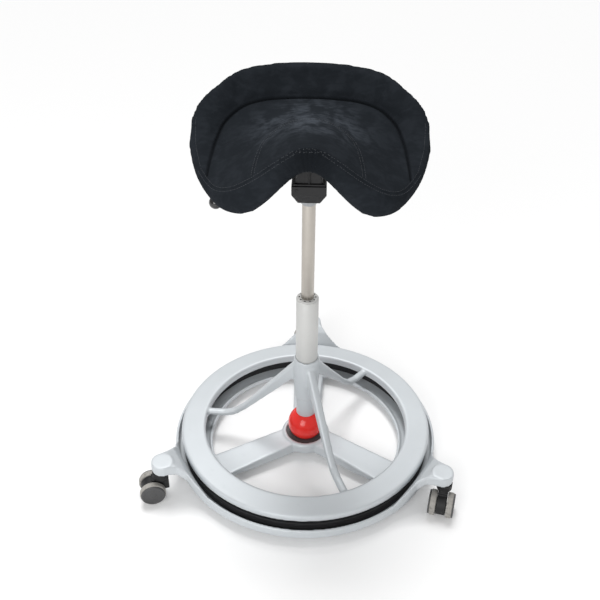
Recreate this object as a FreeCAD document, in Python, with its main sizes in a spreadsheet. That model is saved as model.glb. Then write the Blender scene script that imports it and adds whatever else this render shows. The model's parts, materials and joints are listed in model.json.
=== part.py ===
import FreeCAD, Part
import math
import os
import re

import Sketcher

# A balance stool with a saddle seat: a castor base with a ball cup, a foot ring that
# tilts and turns on the ball, a gas lift column and a padded saddle.
# Frame: origin on the floor under the column axis, +Z up, the saddle's pommel towards -Y.

# Driving sizes in millimetres and degrees
SIZES = {
    # running and seating clearances
    "running_gap": 0.05,
    "seat_gap": 0.3,
    "overlap": 1,
    # ball joint
    "ball_radius": 42.5,
    "liner_floor": 4.5,
    "liner_wall": 4.5,
    "ball_stem_radius": 12,
    "ball_stem_play": 2,
    "ball_bore_depth": 30,
    "stem_flange_radius": 17,
    "stem_flange_thickness": 6,
    # base casting
    "hub_bottom": 14,
    "hub_height": 30,
    "hub_edge": 5,
    "cup_wall": 11,
    "cup_base": 8,
    "liner_drop": 4,
    "base_ring_outer": 316,
    "base_ring_width": 88,
    "base_ring_bottom": 16,
    "trough_base": 8,
    "rim_height": 28,
    "rim_wall": 7,
    "lip_height": 4,
    "lip_wall": 6,
    "ring_corner": 7,
    "arm_hub_half_width": 29,
    "arm_ring_half_width": 37,
    "arm_side_lean": 4,
    "arm_start": 34,
    "arm_drop_at_hub": 2,
    "arm_lift_at_ring": 1,
    "arm_rise_at_ring": 2,
    "rear_arm_angle": 88.8,
    "lobe_radius": 25,
    "lobe_thickness": 25,
    "lobe_overhang": 49,
    "lobe_root_half_width": 105,
    "lobe_root_rise": 2,
    "lobe_shoulder_reach": 54,
    "lobe_shoulder_half_width": 72,
    "lobe_shoulder_rise": 22,
    "lobe_shoulder_thickness": 32,
    "lobe_waist_reach": 40,
    "lobe_waist_half_width": 44,
    "lobe_waist_rise": 48,
    "lobe_waist_thickness": 30,
    "lobe_neck_reach": 22,
    "lobe_neck_half_width": 30,
    "lobe_neck_drop": 3,
    "lobe_neck_thickness": 26,
    "castor_offset": 8,
    # rubber ring in the trough
    "bumper_margin": 19,
    "bumper_width": 35,
    "bumper_height": 23.5,
    "bumper_edge": 3,
    # castors
    "wheel_radius": 29,
    "wheel_clearance": 1,
    "wheel_width": 17,
    "tread_thickness": 4,
    "tread_width": 13,
    "wheel_web": 5,
    "wheel_hub_radius": 8,
    "axle_radius": 4,
    "castor_trail": 21,
    "castor_body_half": 11,
    "castor_body_inset": 4,
    "castor_boss_radius": 17.5,
    "castor_boss_clearance": 3,
    "castor_boss_height": 17.5,
    "castor_stem_radius": 5.5,
    "castor_stem_grip": 13,
    "castor_stem_depth": 20,
    "castor_collar_radius": 10,
    "castor_collar_height": 2.5,
    "front_left_trail_angle": 194,
    "front_right_trail_angle": 256,
    "rear_trail_angle": 180,
    # foot ring casting
    "foot_ring_margin": 16,
    "foot_ring_width": 57,
    "foot_ring_lift": 30,
    "foot_ring_rise": 4,
    "foot_ring_plate": 6,
    "foot_ring_skirt": 17,
    "foot_ring_wall": 7,
    "foot_ring_edge": 3,
    "spoke_angle": -67.5,
    "spoke_half_width": 9,
    "spoke_drop": 16,
    "spoke_depth_at_hub": 46,
    "spoke_knee_reach": 93,
    "spoke_knee_rise": 36,
    "spoke_bend_reach": 67,
    "spoke_bend_rise": 12,
    "spoke_toe_reach": 41,
    "spoke_toe_rise": 3,
    "spoke_depth_at_bend": 12,
    "spoke_edge": 4,
    "collar_length": 118,
    "collar_wall": 4.5,
    "collar_floor": 14,
    "neck_step": 2,
    "collar_edge": 3,
    "sleeve_reach": 46.5,
    "sleeve_radius": 23,
    # column
    "tube_radius": 25,
    "tube_wall": 2.5,
    "tube_length": 269,
    "bush_length": 62,
    "bush_flange": 3,
    "bush_slot_length": 4.4,
    "bush_slot_width": 3,
    "bush_slot_depth": 4,
    "bush_slots": 10,
    "plate_thickness": 5,
    "clip_radius": 9,
    "clip_thickness": 1.5,
    "clip_room": 6,
    "bearing_radius": 14,
    "bearing_thickness": 5,
    "stop_radius": 11,
    "stop_height": 12,
    "piston_rod_radius": 5,
    # gas cylinder
    "cylinder_radius": 14,
    "cylinder_wall": 2,
    "cylinder_length": 325,
    "cylinder_grip": 56,
    "taper_length": 36,
    "taper_step": 1.2,
    "seal_length": 14,
    "piston_length": 16,
    "cylinder_cap": 12,
    "valve_radius": 4,
    "valve_reach": 8,
    "valve_tip_radius": 1.5,
    "valve_depth": 20,
    # seat mechanism
    "housing_half_width": 35,
    "housing_front": 36,
    "housing_back": 56,
    "housing_clearance": 3,
    "housing_room_height": 20,
    "housing_flare": 24,
    "housing_wall": 5,
    "cone_length": 12,
    "cone_wall": 1,
    "cone_flare": 7,
    "cone_margin": 0.5,
    "bracket_plate": 4,
    "bracket_inset": 2,
    "bracket_half_width": 27,
    "bracket_front": 30,
    "bracket_back": 52,
    "bracket_height": 42,
    "bracket_top_half_width": 22,
    "bracket_top_front": 26,
    "bracket_top_back": 52,
    "bracket_rib_half": 1.5,
    "bracket_rib_depth": 2,
    "screw_radius": 3,
    "screw_across": 12,
    "screw_front": 18,
    "screw_back": 44,
    "screw_grip": 12,
    # release lever
    "lever_pivot_share": 0.8,
    "lever_pivot_rise": 11,
    "lever_pin_radius": 2.5,
    "lever_boss_radius": 6,
    "lever_half_width": 6,
    "lever_play": 2,
    "lever_rod_radius": 4,
    "lever_bend_out": 25,
    "lever_bend_drop": 6,
    "lever_knob_out": 159,
    "lever_knob_drop": 67,
    "lever_knob_radius": 14,
    "lever_window_height": 16,
    "lever_offset": 30,
    # saddle
    "pan_thickness": 8,
    "pan_reach": 0.6,
    "pan_block_half_width": 34,
    "pan_block_front": 40,
    "pan_block_back": 70,
    "pan_block_height": 24,
    "front_lean": 12,
    "front_bulge": 8,
    "crown": 5,
    "well_sag": 2,
    "band_sag": 4,
    "rim_round": 7,
    "back_bulge": 5,
    "heel_back": 18,
    "heel_drop": 26,
    "heel_least": 9,
    "cushion_thickness": 42,
}

# Stations of the saddle from its middle to its side: half-width, front edge, top and bottom
# of the front edge, place and height of the dip, place and height of the seam behind it,
# back edge and top of the back rim, with heights above the bracket's top
STATIONS = {
    "middle": (0, -163, 97, 49, 40, 73, 122, 76, 166, 142),
    "ridge": (40, -163, 82, 25, 38, 69, 120, 75, 165, 141),
    "slope": (84, -161, 49, -23, 30, 53, 113, 73, 159, 139),
    "thigh": (132, -152, 13, -47, 18, 33, 95, 66, 146, 133),
    "flank": (174, -120, -10, -45, 4, 18, 50, 43, 117, 119),
    "side": (208, -68, -6, -29, -14, 17, 24, 38, 89, 98),
    "brim": (227, -24, 10, -7, 8, 26, 33, 44, 69, 79),
    "edge": (237, 12, 28, 14, 24, 36, 34, 45, 48, 60),
}
STATION_SIZES = ("across", "front", "front_top", "front_low", "dip", "dip_height",
                 "seam", "seam_height", "back", "back_top")
PAN_STATIONS = ("middle", "ridge", "slope", "thigh", "flank")
for station, row in STATIONS.items():
    for name, number in zip(STATION_SIZES, row):
        SIZES[station + "_" + name] = number

# Places that follow from the driving sizes, each set on from what carries it
PLACES = {
    "hub_top": "hub_bottom + hub_height",
    "cup_floor": "hub_bottom + cup_base",
    "cup_radius": "ball_radius + liner_wall",
    "hub_radius": "cup_radius + cup_wall",
    "liner_top": "hub_top - liner_drop",
    "ball_height": "cup_floor + liner_floor + ball_radius",
    "base_ring_inner": "base_ring_outer - base_ring_width",
    "trough_floor": "base_ring_bottom + trough_base",
    "rim_top": "base_ring_bottom + rim_height",
    "arm_bottom_at_ring": "base_ring_bottom + arm_lift_at_ring",
    "arm_top_at_ring": "trough_floor + arm_rise_at_ring",
    "bumper_outer": "base_ring_outer - bumper_margin",
    "bumper_inner": "bumper_outer - bumper_width",
    "wheel_inner_face": "castor_body_half + wheel_clearance",
    "castor_body_radius": "wheel_radius - castor_body_inset",
    "castor_boss_bottom": "2 * wheel_radius + castor_boss_clearance",
    "castor_boss_top": "castor_boss_bottom + castor_boss_height",
    "lobe_bottom": "castor_boss_top + castor_collar_height",
    "lobe_top": "lobe_bottom + lobe_thickness",
    "lobe_root_top": "rim_top + lobe_root_rise",
    "lobe_shoulder_top": "rim_top + lobe_shoulder_rise",
    "lobe_waist_top": "rim_top + lobe_waist_rise",
    "lobe_neck_top": "lobe_top - lobe_neck_drop",
    "lobe_circle": "base_ring_outer + lobe_overhang",
    "castor_circle": "lobe_circle + castor_offset",
    "foot_ring_outer": "base_ring_outer - foot_ring_margin",
    "foot_ring_inner": "foot_ring_outer - foot_ring_width",
    "foot_ring_top": "rim_top + foot_ring_lift",
    "spoke_knee_radius": "foot_ring_inner - spoke_knee_reach",
    "spoke_knee_height": "foot_ring_top + spoke_knee_rise",
    "spoke_bend_radius": "foot_ring_inner - spoke_bend_reach",
    "spoke_bend_height": "foot_ring_top + spoke_bend_rise",
    "spoke_toe_radius": "foot_ring_inner - spoke_toe_reach",
    "spoke_toe_height": "foot_ring_top + spoke_toe_rise",
    "collar_bottom": "ball_height + ball_radius + sleeve_reach",
    "collar_top": "collar_bottom + collar_length",
    "collar_radius": "tube_radius + collar_wall",
    "neck_radius": "collar_radius - neck_step",
    "spoke_top": "collar_top - spoke_drop",
    "tube_bottom": "collar_bottom + collar_floor",
    "tube_top": "tube_bottom + tube_length",
    "bush_slot_circle": "(cylinder_radius + tube_radius - bush_flange) / 2",
    "cylinder_bottom": "tube_top - cylinder_grip",
    "cylinder_top": "cylinder_bottom + cylinder_length",
    "housing_shoulder": "cylinder_top + housing_clearance",
    "housing_bottom": "housing_shoulder - housing_flare",
    "housing_top": "housing_shoulder + housing_room_height",
    "cone_bottom": "housing_bottom - cone_length",
    "cone_lower_radius": "cylinder_radius + cone_wall",
    "cone_upper_radius": "cone_lower_radius + cone_flare",
    "housing_foot_half": "cone_upper_radius + cone_margin",
    "bracket_top": "housing_top + bracket_height",
    "lever_pivot_reach": "(housing_half_width - housing_wall) * lever_pivot_share",
    "lever_pivot_height": "housing_shoulder + lever_pivot_rise",
    "lever_bend_reach": "housing_half_width + lever_bend_out",
    "lever_knob_reach": "housing_half_width + lever_knob_out",
    "lever_knob_height": "lever_pivot_height - lever_knob_drop",
}

doc = FreeCAD.newDocument("saddle_stool")
sheet = doc.addObject("Spreadsheet::Sheet", "sizes")
for line, (alias, number) in enumerate(SIZES.items(), start=1):
    sheet.set("A%d" % line, alias)
    sheet.set("B%d" % line, str(number))
    sheet.setAlias("B%d" % line, alias)
doc.recompute()

nodes = []


def formula(text):
    """An expression on the sheet's cells, from a text that names sizes and places plainly."""
    def cell(word):
        name = word.group()
        if name in PLACES:
            return "(%s)" % formula(PLACES[name])
        return "sizes." + name if name in SIZES else name
    return re.sub(r"[a-z][a-z_]*", cell, text)


def size(text):
    """A size or place as a number."""
    return float(sheet.evalExpression(formula(text)))


def bind(thing, **formulas):
    for prop, text in formulas.items():
        thing.setExpression(prop.replace("__", "."), formula(text))
    return thing


def keep(thing, label, placement=None):
    """Name a finished piece, put it in its place and list it."""
    thing.Label = label
    if placement is not None:
        thing.Placement = placement
    nodes.append(thing)
    return thing


def place(x=0, y=0, z=0, axis=(0, 0, 1), angle=0):
    spot = FreeCAD.Vector(x, y, z)
    return FreeCAD.Placement(spot, FreeCAD.Rotation(FreeCAD.Vector(*axis), angle))


def new_body(name):
    return doc.addObject("PartDesign::Body", name + "_body")


def origin_part(body, role):
    return next(part for part in body.Origin.OriginFeatures if part.Role == role)


def outline(body, name, role, corners, offset=None):
    """A closed sketch of straight edges on an origin plane, each corner bound to formulas."""
    sketch = body.newObject("Sketcher::SketchObject", name)
    sketch.AttachmentSupport = [(origin_part(body, role), "")]
    sketch.MapMode = "FlatFace"
    if offset:
        sketch.setExpression("AttachmentOffset.Base.z", formula(offset))
    count = len(corners)
    turn = 2 * math.pi / count
    start = [FreeCAD.Vector(math.cos(turn * i), math.sin(turn * i), 0) for i in range(count)]
    for i in range(count):
        sketch.addGeometry(Part.LineSegment(start[i], start[(i + 1) % count]), False)
    for i in range(count):
        sketch.addConstraint(Sketcher.Constraint("Coincident", i, 2, (i + 1) % count, 1))
    for i, corner in enumerate(corners):
        for kind, text, now in zip(("DistanceX", "DistanceY"), corner, start[i]):
            spot = sketch.addConstraint(Sketcher.Constraint(kind, -1, 1, i, 1, now))
            sketch.setExpression("Constraints[%d]" % spot, formula(text))
    return sketch


def revolve(body, name, corners, kind="Revolution"):
    """Turn an outline of (radius, height) corners about the vertical axis."""
    sketch = outline(body, name + "_outline", "XZ_Plane", corners)
    turned = body.newObject("PartDesign::" + kind, name)
    turned.Profile = sketch
    turned.ReferenceAxis = (sketch, ["V_Axis"])
    turned.Angle = 360
    return turned


def turned_piece(label, corners, placement=None):
    """A piece made on the lathe."""
    body = new_body(label)
    revolve(body, label + "_turn", corners)
    return keep(body, label, placement)


def loft(body, name, sections, ruled=True):
    """Join outlines that stand square to X, each given as (reach, corners)."""
    sketches = [
        outline(body, "%s_section_%d" % (name, i), "YZ_Plane", corners, reach)
        for i, (reach, corners) in enumerate(sections)
    ]
    joined = body.newObject("PartDesign::AdditiveLoft", name)
    joined.Profile = sketches[0]
    joined.Sections = sketches[1:]
    joined.Ruled = ruled
    return joined


def pattern(body, name, originals, count):
    """Repeat features about the vertical axis."""
    around = body.newObject("PartDesign::PolarPattern", name)
    around.Originals = originals
    around.Axis = (origin_part(body, "Z_Axis"), [""])
    around.Angle = 360
    bind(around, Occurrences=count)
    body.Tip = around
    return around


def primitive(kind, name, placement=None, **formulas):
    shape = bind(doc.addObject("Part::" + kind, name), **formulas)
    if placement is not None:
        shape.Placement = placement
    return shape


def cut(name, base, tool):
    less = doc.addObject("Part::Cut", name)
    less.Base = base
    less.Tool = tool
    return less


def fuse(name, shapes):
    joined = doc.addObject("Part::MultiFuse", name)
    joined.Shapes = shapes
    return joined


def slab(half_width, low, high, edge):
    """Corners of an upright section whose top edges are bevelled."""
    return [
        ("-(%s)" % half_width, low),
        (half_width, low),
        (half_width, "%s - %s" % (high, edge)),
        ("%s - %s" % (half_width, edge), high),
        ("-(%s - %s)" % (half_width, edge), high),
        ("-(%s)" % half_width, "%s - %s" % (high, edge)),
    ]


def make_base_casting():
    """Three arms from the ball cup to a trough ring, with a raised lobe over each castor."""
    body = new_body("base_casting")
    revolve(body, "cup_hub", [
        ("0", "hub_bottom"),
        ("hub_radius - hub_edge", "hub_bottom"),
        ("hub_radius", "hub_bottom + hub_edge"),
        ("hub_radius", "hub_top - hub_edge"),
        ("hub_radius - hub_edge", "hub_top"),
        ("0", "hub_top"),
    ])
    arm = loft(body, "arm", [
        ("arm_start", arm_section("arm_hub_half_width", "hub_bottom", "hub_top - arm_drop_at_hub")),
        ("base_ring_inner + lip_wall",
         arm_section("arm_ring_half_width", "arm_bottom_at_ring", "arm_top_at_ring")),
    ])
    pattern(body, "arms", [arm], "3")
    revolve(body, "trough_ring", [
        ("base_ring_inner", "base_ring_bottom + lip_wall / 2"),
        ("base_ring_inner + lip_wall / 2", "base_ring_bottom"),
        ("base_ring_outer - ring_corner", "base_ring_bottom"),
        ("base_ring_outer", "base_ring_bottom + ring_corner"),
        ("base_ring_outer", "rim_top - rim_wall / 3"),
        ("base_ring_outer - rim_wall / 3", "rim_top"),
        ("base_ring_outer - rim_wall", "rim_top"),
        ("base_ring_outer - rim_wall", "trough_floor"),
        ("base_ring_inner + lip_wall", "trough_floor"),
        ("base_ring_inner + lip_wall", "trough_floor + lip_height"),
        ("base_ring_inner", "trough_floor + lip_height"),
    ])
    root = "sqrt((base_ring_outer - overlap) ^ 2 - lobe_root_half_width ^ 2)"
    sections = [(root, slab("lobe_root_half_width", "base_ring_bottom + 2 * overlap", "lobe_root_top",
                            "rim_wall / 3"))]
    for part in ("lobe_shoulder", "lobe_waist", "lobe_neck"):
        sections.append(("lobe_circle - %s_reach" % part,
                         slab(part + "_half_width", "%s_top - %s_thickness" % (part, part), part + "_top",
                              "rim_wall / 3")))
    sections.append(("lobe_circle", slab("lobe_radius", "lobe_bottom", "lobe_top", "rim_wall / 3")))
    lobe = loft(body, "lobe", sections)
    pattern(body, "lobes", [lobe], "3")
    clear = revolve(body, "trough_clear", [
        ("bumper_inner - bumper_edge", "trough_floor"),
        ("base_ring_outer - rim_wall", "trough_floor"),
        ("base_ring_outer - rim_wall", "lobe_top + overlap"),
        ("bumper_inner - bumper_edge", "lobe_top + overlap"),
    ], kind="Groove")
    body.Tip = clear
    tip = body.newObject("PartDesign::AdditiveCylinder", "lobe_tip")
    tip.AttachmentSupport = [(origin_part(body, "XY_Plane"), "")]
    tip.MapMode = "FlatFace"
    bind(tip, Radius="lobe_radius", Height="lobe_thickness",
         AttachmentOffset__Base__x="lobe_circle", AttachmentOffset__Base__z="lobe_bottom")
    pattern(body, "lobe_tips", [tip], "3")
    socket = body.newObject("PartDesign::SubtractiveCylinder", "castor_socket")
    socket.AttachmentSupport = [(origin_part(body, "XY_Plane"), "")]
    socket.MapMode = "FlatFace"
    bind(socket, Radius="castor_stem_radius + running_gap", Height="castor_stem_grip",
         AttachmentOffset__Base__x="castor_circle", AttachmentOffset__Base__z="lobe_bottom")
    pattern(body, "castor_sockets", [socket], "3")
    cup = body.newObject("PartDesign::SubtractiveCylinder", "ball_cup")
    cup.AttachmentSupport = [(origin_part(body, "XY_Plane"), "")]
    cup.MapMode = "FlatFace"
    bind(cup, Radius="cup_radius + running_gap", Height="hub_top - cup_floor",
         AttachmentOffset__Base__z="cup_floor")
    body.Tip = cup
    keep(body, "base_casting", place(angle=size("rear_arm_angle")))


def arm_section(half_width, low, high):
    """An arm's section: a flat top and sides that lean out towards the floor."""
    return [
        ("-(%s + arm_side_lean)" % half_width, low),
        ("%s + arm_side_lean" % half_width, low),
        (half_width, high),
        ("-(%s)" % half_width, high),
    ]


def make_cup_and_bumper():
    block = primitive("Cylinder", "liner_block", place(z=size("cup_floor")),
                      Radius="cup_radius", Height="liner_top - cup_floor")
    bind(block, Placement__Base__z="cup_floor")
    hollow = primitive("Sphere", "liner_hollow", Radius="ball_radius + seat_gap")
    bind(hollow, Placement__Base__z="ball_height")
    keep(cut("liner_cut", block, hollow), "socket_liner")
    turned_piece("bumper_ring", [
        ("bumper_inner", "trough_floor"),
        ("bumper_outer", "trough_floor"),
        ("bumper_outer", "trough_floor + bumper_height - bumper_edge"),
        ("bumper_outer - bumper_edge", "trough_floor + bumper_height"),
        ("bumper_inner + bumper_edge", "trough_floor + bumper_height"),
        ("bumper_inner", "trough_floor + bumper_height - bumper_edge"),
    ])


def make_castor(name, arm_angle, trail_angle):
    """One twin-wheel castor; its own frame has the stem on Z and trails along X."""
    around = math.radians(arm_angle)
    reach = size("castor_circle")
    stand = place(reach * math.cos(around), reach * math.sin(around), 0, angle=trail_angle)
    turned_piece(name + "_stem", [
        ("0", "castor_boss_top - castor_stem_depth"),
        ("castor_stem_radius", "castor_boss_top - castor_stem_depth"),
        ("castor_stem_radius", "castor_boss_top + seat_gap"),
        ("castor_collar_radius", "castor_boss_top + seat_gap"),
        ("castor_collar_radius", "lobe_bottom"),
        ("castor_stem_radius", "lobe_bottom"),
        ("castor_stem_radius", "lobe_bottom + castor_stem_grip"),
        ("0", "lobe_bottom + castor_stem_grip"),
    ], stand)
    make_castor_body(name, stand)
    axle_line = stand * place(size("castor_trail"), 0, size("wheel_radius"), axis=(1, 0, 0), angle=90)
    half = "wheel_inner_face + wheel_width - wheel_web"
    turned_piece(name + "_axle", [
        ("0", "-(%s)" % half),
        ("axle_radius", "-(%s)" % half),
        ("axle_radius", half),
        ("0", half),
    ], axle_line)
    flip = place(axis=(1, 0, 0), angle=180)
    for side, line in (("left", axle_line), ("right", axle_line * flip)):
        make_wheel("%s_wheel_%s" % (name, side), line)
        make_tread("%s_tread_%s" % (name, side), line)


def make_castor_body(name, stand):
    """The body between the wheels, with the boss that turns on the stem."""
    plate = primitive("Cylinder", name + "_plate", place(axis=(1, 0, 0), angle=90),
                      Radius="castor_body_radius", Height="2 * castor_body_half")
    bind(plate, Placement__Base__x="castor_trail", Placement__Base__y="castor_body_half",
         Placement__Base__z="wheel_radius")
    web = primitive("Box", name + "_web", Length="castor_trail + castor_boss_radius",
                    Width="2 * castor_body_half", Height="castor_boss_bottom - wheel_radius + overlap")
    bind(web, Placement__Base__x="-castor_boss_radius", Placement__Base__y="-castor_body_half",
         Placement__Base__z="wheel_radius")
    boss = primitive("Cylinder", name + "_boss", Radius="castor_boss_radius",
                     Height="castor_boss_top - castor_boss_bottom")
    bind(boss, Placement__Base__z="castor_boss_bottom")
    stem_bore = primitive("Cylinder", name + "_stem_bore", Radius="castor_stem_radius + running_gap",
                          Height="castor_stem_depth + seat_gap")
    bind(stem_bore, Placement__Base__z="castor_boss_top - castor_stem_depth - seat_gap")
    axle_bore = primitive("Cylinder", name + "_axle_bore", place(axis=(1, 0, 0), angle=90),
                          Radius="axle_radius", Height="4 * castor_body_half")
    bind(axle_bore, Placement__Base__x="castor_trail", Placement__Base__y="2 * castor_body_half",
         Placement__Base__z="wheel_radius")
    solid = fuse(name + "_joined", [plate, web, boss])
    keep(cut(name + "_cut", solid, fuse(name + "_bores", [stem_bore, axle_bore])), name + "_body",
         stand)


def make_wheel(label, line):
    """A dished wheel with a closed outer face, seen from its axle line."""
    outer = "wheel_inner_face + wheel_width"
    rim = "wheel_radius - tread_thickness"
    bore = "axle_radius + running_gap"
    turned_piece(label, [
        (bore, "wheel_inner_face"),
        ("wheel_hub_radius", "wheel_inner_face"),
        ("wheel_hub_radius", "%s - wheel_web" % outer),
        ("%s - wheel_web" % rim, "%s - wheel_web" % outer),
        ("%s - wheel_web" % rim, "wheel_inner_face"),
        (rim, "wheel_inner_face"),
        (rim, "%s - tread_thickness / 2" % outer),
        ("%s - tread_thickness / 2" % rim, outer),
        ("0", outer),
        ("0", "%s - wheel_web + seat_gap" % outer),
        (bore, "%s - wheel_web + seat_gap" % outer),
    ], line)


def make_tread(label, line):
    """A soft ring pressed on the wheel's rim."""
    low = "wheel_inner_face"
    high = "wheel_inner_face + tread_width"
    inner = "wheel_radius - tread_thickness"
    shoulder = "wheel_radius - tread_thickness / 3"
    turned_piece(label, [
        (inner, low),
        (shoulder, low),
        ("wheel_radius", "%s + tread_thickness / 2" % low),
        ("wheel_radius", "%s - tread_thickness / 2" % high),
        (shoulder, high),
        (inner, high),
    ], line)


def make_ball_and_stem():
    ball = primitive("Sphere", "ball_sphere", Radius="ball_radius")
    bind(ball, Placement__Base__z="ball_height")
    bore = primitive("Cylinder", "ball_bore", Radius="ball_stem_radius + ball_stem_play",
                     Height="ball_bore_depth")
    bind(bore, Placement__Base__z="ball_height + ball_radius - ball_bore_depth")
    keep(cut("ball_cut", ball, bore), "red_ball")
    stem_low = "ball_height + ball_radius - ball_bore_depth + ball_stem_play"
    stem_top = "collar_bottom - seat_gap"
    flange_low = stem_top + " - stem_flange_thickness"
    turned_piece("ball_stem", [
        ("0", stem_low),
        ("ball_stem_radius", stem_low),
        ("ball_stem_radius", flange_low),
        ("stem_flange_radius", flange_low),
        ("stem_flange_radius", stem_top),
        ("0", stem_top),
    ])
    sleeve_foot = "ball_height + sqrt(ball_radius ^ 2 - sleeve_radius ^ 2) + ball_stem_play / 2"
    turned_piece("stem_sleeve", [
        ("ball_stem_radius + running_gap",
         "ball_height + ball_radius + ball_stem_play / 2"),
        ("sleeve_radius", sleeve_foot),
        ("sleeve_radius", "collar_bottom"),
        ("stem_flange_radius + running_gap", "collar_bottom"),
        ("stem_flange_radius + running_gap", flange_low + " - seat_gap"),
        ("ball_stem_radius + running_gap", flange_low + " - seat_gap"),
    ])


def spoke_section(top, depth):
    return slab("spoke_half_width", "%s - %s" % (top, depth), top, "spoke_edge")


def make_foot_ring():
    """A flat ring for the feet on three spokes that fall from the column's collar."""
    body = new_body("foot_ring")
    bore = "tube_radius"
    revolve(body, "collar", [
        ("0", "collar_bottom"),
        ("neck_radius - collar_edge", "collar_bottom"),
        ("neck_radius", "collar_bottom + collar_edge"),
        ("collar_radius", "spoke_top - spoke_depth_at_hub"),
        ("collar_radius", "collar_top - collar_edge"),
        ("collar_radius - collar_edge", "collar_top"),
        ("0", "collar_top"),
    ])
    inner_top = "foot_ring_top + foot_ring_rise"
    spoke = loft(body, "spoke", [
        ("tube_radius + overlap", spoke_section("spoke_top", "spoke_depth_at_hub")),
        ("spoke_knee_radius", spoke_section("spoke_knee_height", "1.5 * spoke_depth_at_bend")),
        ("spoke_bend_radius", spoke_section("spoke_bend_height", "1.2 * spoke_depth_at_bend")),
        ("spoke_toe_radius", spoke_section("spoke_toe_height", "spoke_depth_at_bend")),
        ("foot_ring_inner + foot_ring_edge",
         spoke_section("foot_ring_top", "spoke_depth_at_bend")),
    ])
    pattern(body, "spokes", [spoke], "3")
    skirt_low = "foot_ring_top - foot_ring_skirt"
    revolve(body, "tread_ring", [
        ("foot_ring_inner", skirt_low),
        ("foot_ring_inner + foot_ring_wall", skirt_low),
        ("foot_ring_inner + foot_ring_wall", "%s - foot_ring_plate" % inner_top),
        ("foot_ring_outer - foot_ring_wall", "foot_ring_top - foot_ring_plate"),
        ("foot_ring_outer - foot_ring_wall", skirt_low),
        ("foot_ring_outer", skirt_low),
        ("foot_ring_outer", "foot_ring_top - foot_ring_edge"),
        ("foot_ring_outer - foot_ring_edge", "foot_ring_top"),
        ("foot_ring_inner + foot_ring_edge", inner_top),
        ("foot_ring_inner", "%s - foot_ring_edge" % inner_top),
    ])
    bore_cut = revolve(body, "column_bore", [
        ("0", "tube_bottom - clip_room"),
        ("clip_radius + overlap", "tube_bottom - clip_room"),
        ("clip_radius + overlap", "tube_bottom"),
        (bore, "tube_bottom"),
        (bore, "collar_top + collar_edge"),
        ("0", "collar_top + collar_edge"),
    ], kind="Groove")
    body.Tip = bore_cut
    keep(body, "foot_ring", place(angle=size("spoke_angle")))


def make_column():
    """The column tube with its guide bush, bottom plate, bearing and stop."""
    inner = "tube_radius - tube_wall"
    turned_piece("column_tube", [
        (inner, "tube_bottom"),
        ("tube_radius", "tube_bottom"),
        ("tube_radius", "tube_top"),
        (inner, "tube_top"),
    ])
    body = new_body("guide_bush")
    revolve(body, "bush_turn", [
        ("cylinder_radius + running_gap", "tube_top - bush_length"),
        (inner, "tube_top - bush_length"),
        (inner, "tube_top"),
        ("tube_radius - bush_flange / 2", "tube_top"),
        ("tube_radius - bush_flange / 2", "tube_top + bush_flange / 2"),
        ("tube_radius - bush_flange", "tube_top + bush_flange"),
        ("cylinder_radius + running_gap", "tube_top + bush_flange"),
    ])
    slot = body.newObject("PartDesign::SubtractiveBox", "bush_slot")
    slot.AttachmentSupport = [(origin_part(body, "XY_Plane"), "")]
    slot.MapMode = "FlatFace"
    bind(slot, Length="bush_slot_width", Width="bush_slot_length", Height="bush_slot_depth + overlap",
         AttachmentOffset__Base__x="bush_slot_circle - bush_slot_width / 2",
         AttachmentOffset__Base__y="-bush_slot_length / 2",
         AttachmentOffset__Base__z="tube_top + bush_flange - bush_slot_depth")
    pattern(body, "bush_slots", [slot], "bush_slots")
    keep(body, "guide_bush")
    hole = "piston_rod_radius + running_gap"
    plate_top = "tube_bottom + plate_thickness"
    turned_piece("bottom_plate", [
        (hole, "tube_bottom"),
        (inner, "tube_bottom"),
        (inner, plate_top),
        (hole, plate_top),
    ])
    turned_piece("thrust_bearing", [
        (hole, plate_top),
        ("bearing_radius", plate_top),
        ("bearing_radius", "%s + bearing_thickness" % plate_top),
        (hole, "%s + bearing_thickness" % plate_top),
    ])
    stop_low = "%s + bearing_thickness + seat_gap" % plate_top
    turned_piece("bump_stop", [
        (hole, stop_low),
        ("stop_radius", stop_low),
        ("stop_radius - 2 * overlap", "%s + stop_height" % stop_low),
        (hole, "%s + stop_height" % stop_low),
    ])
    clip_top = "tube_bottom - seat_gap"
    turned_piece("retaining_clip", [
        ("piston_rod_radius", "%s - clip_thickness" % clip_top),
        ("clip_radius", "%s - clip_thickness" % clip_top),
        ("clip_radius", clip_top),
        ("piston_rod_radius", clip_top),
    ])


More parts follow.
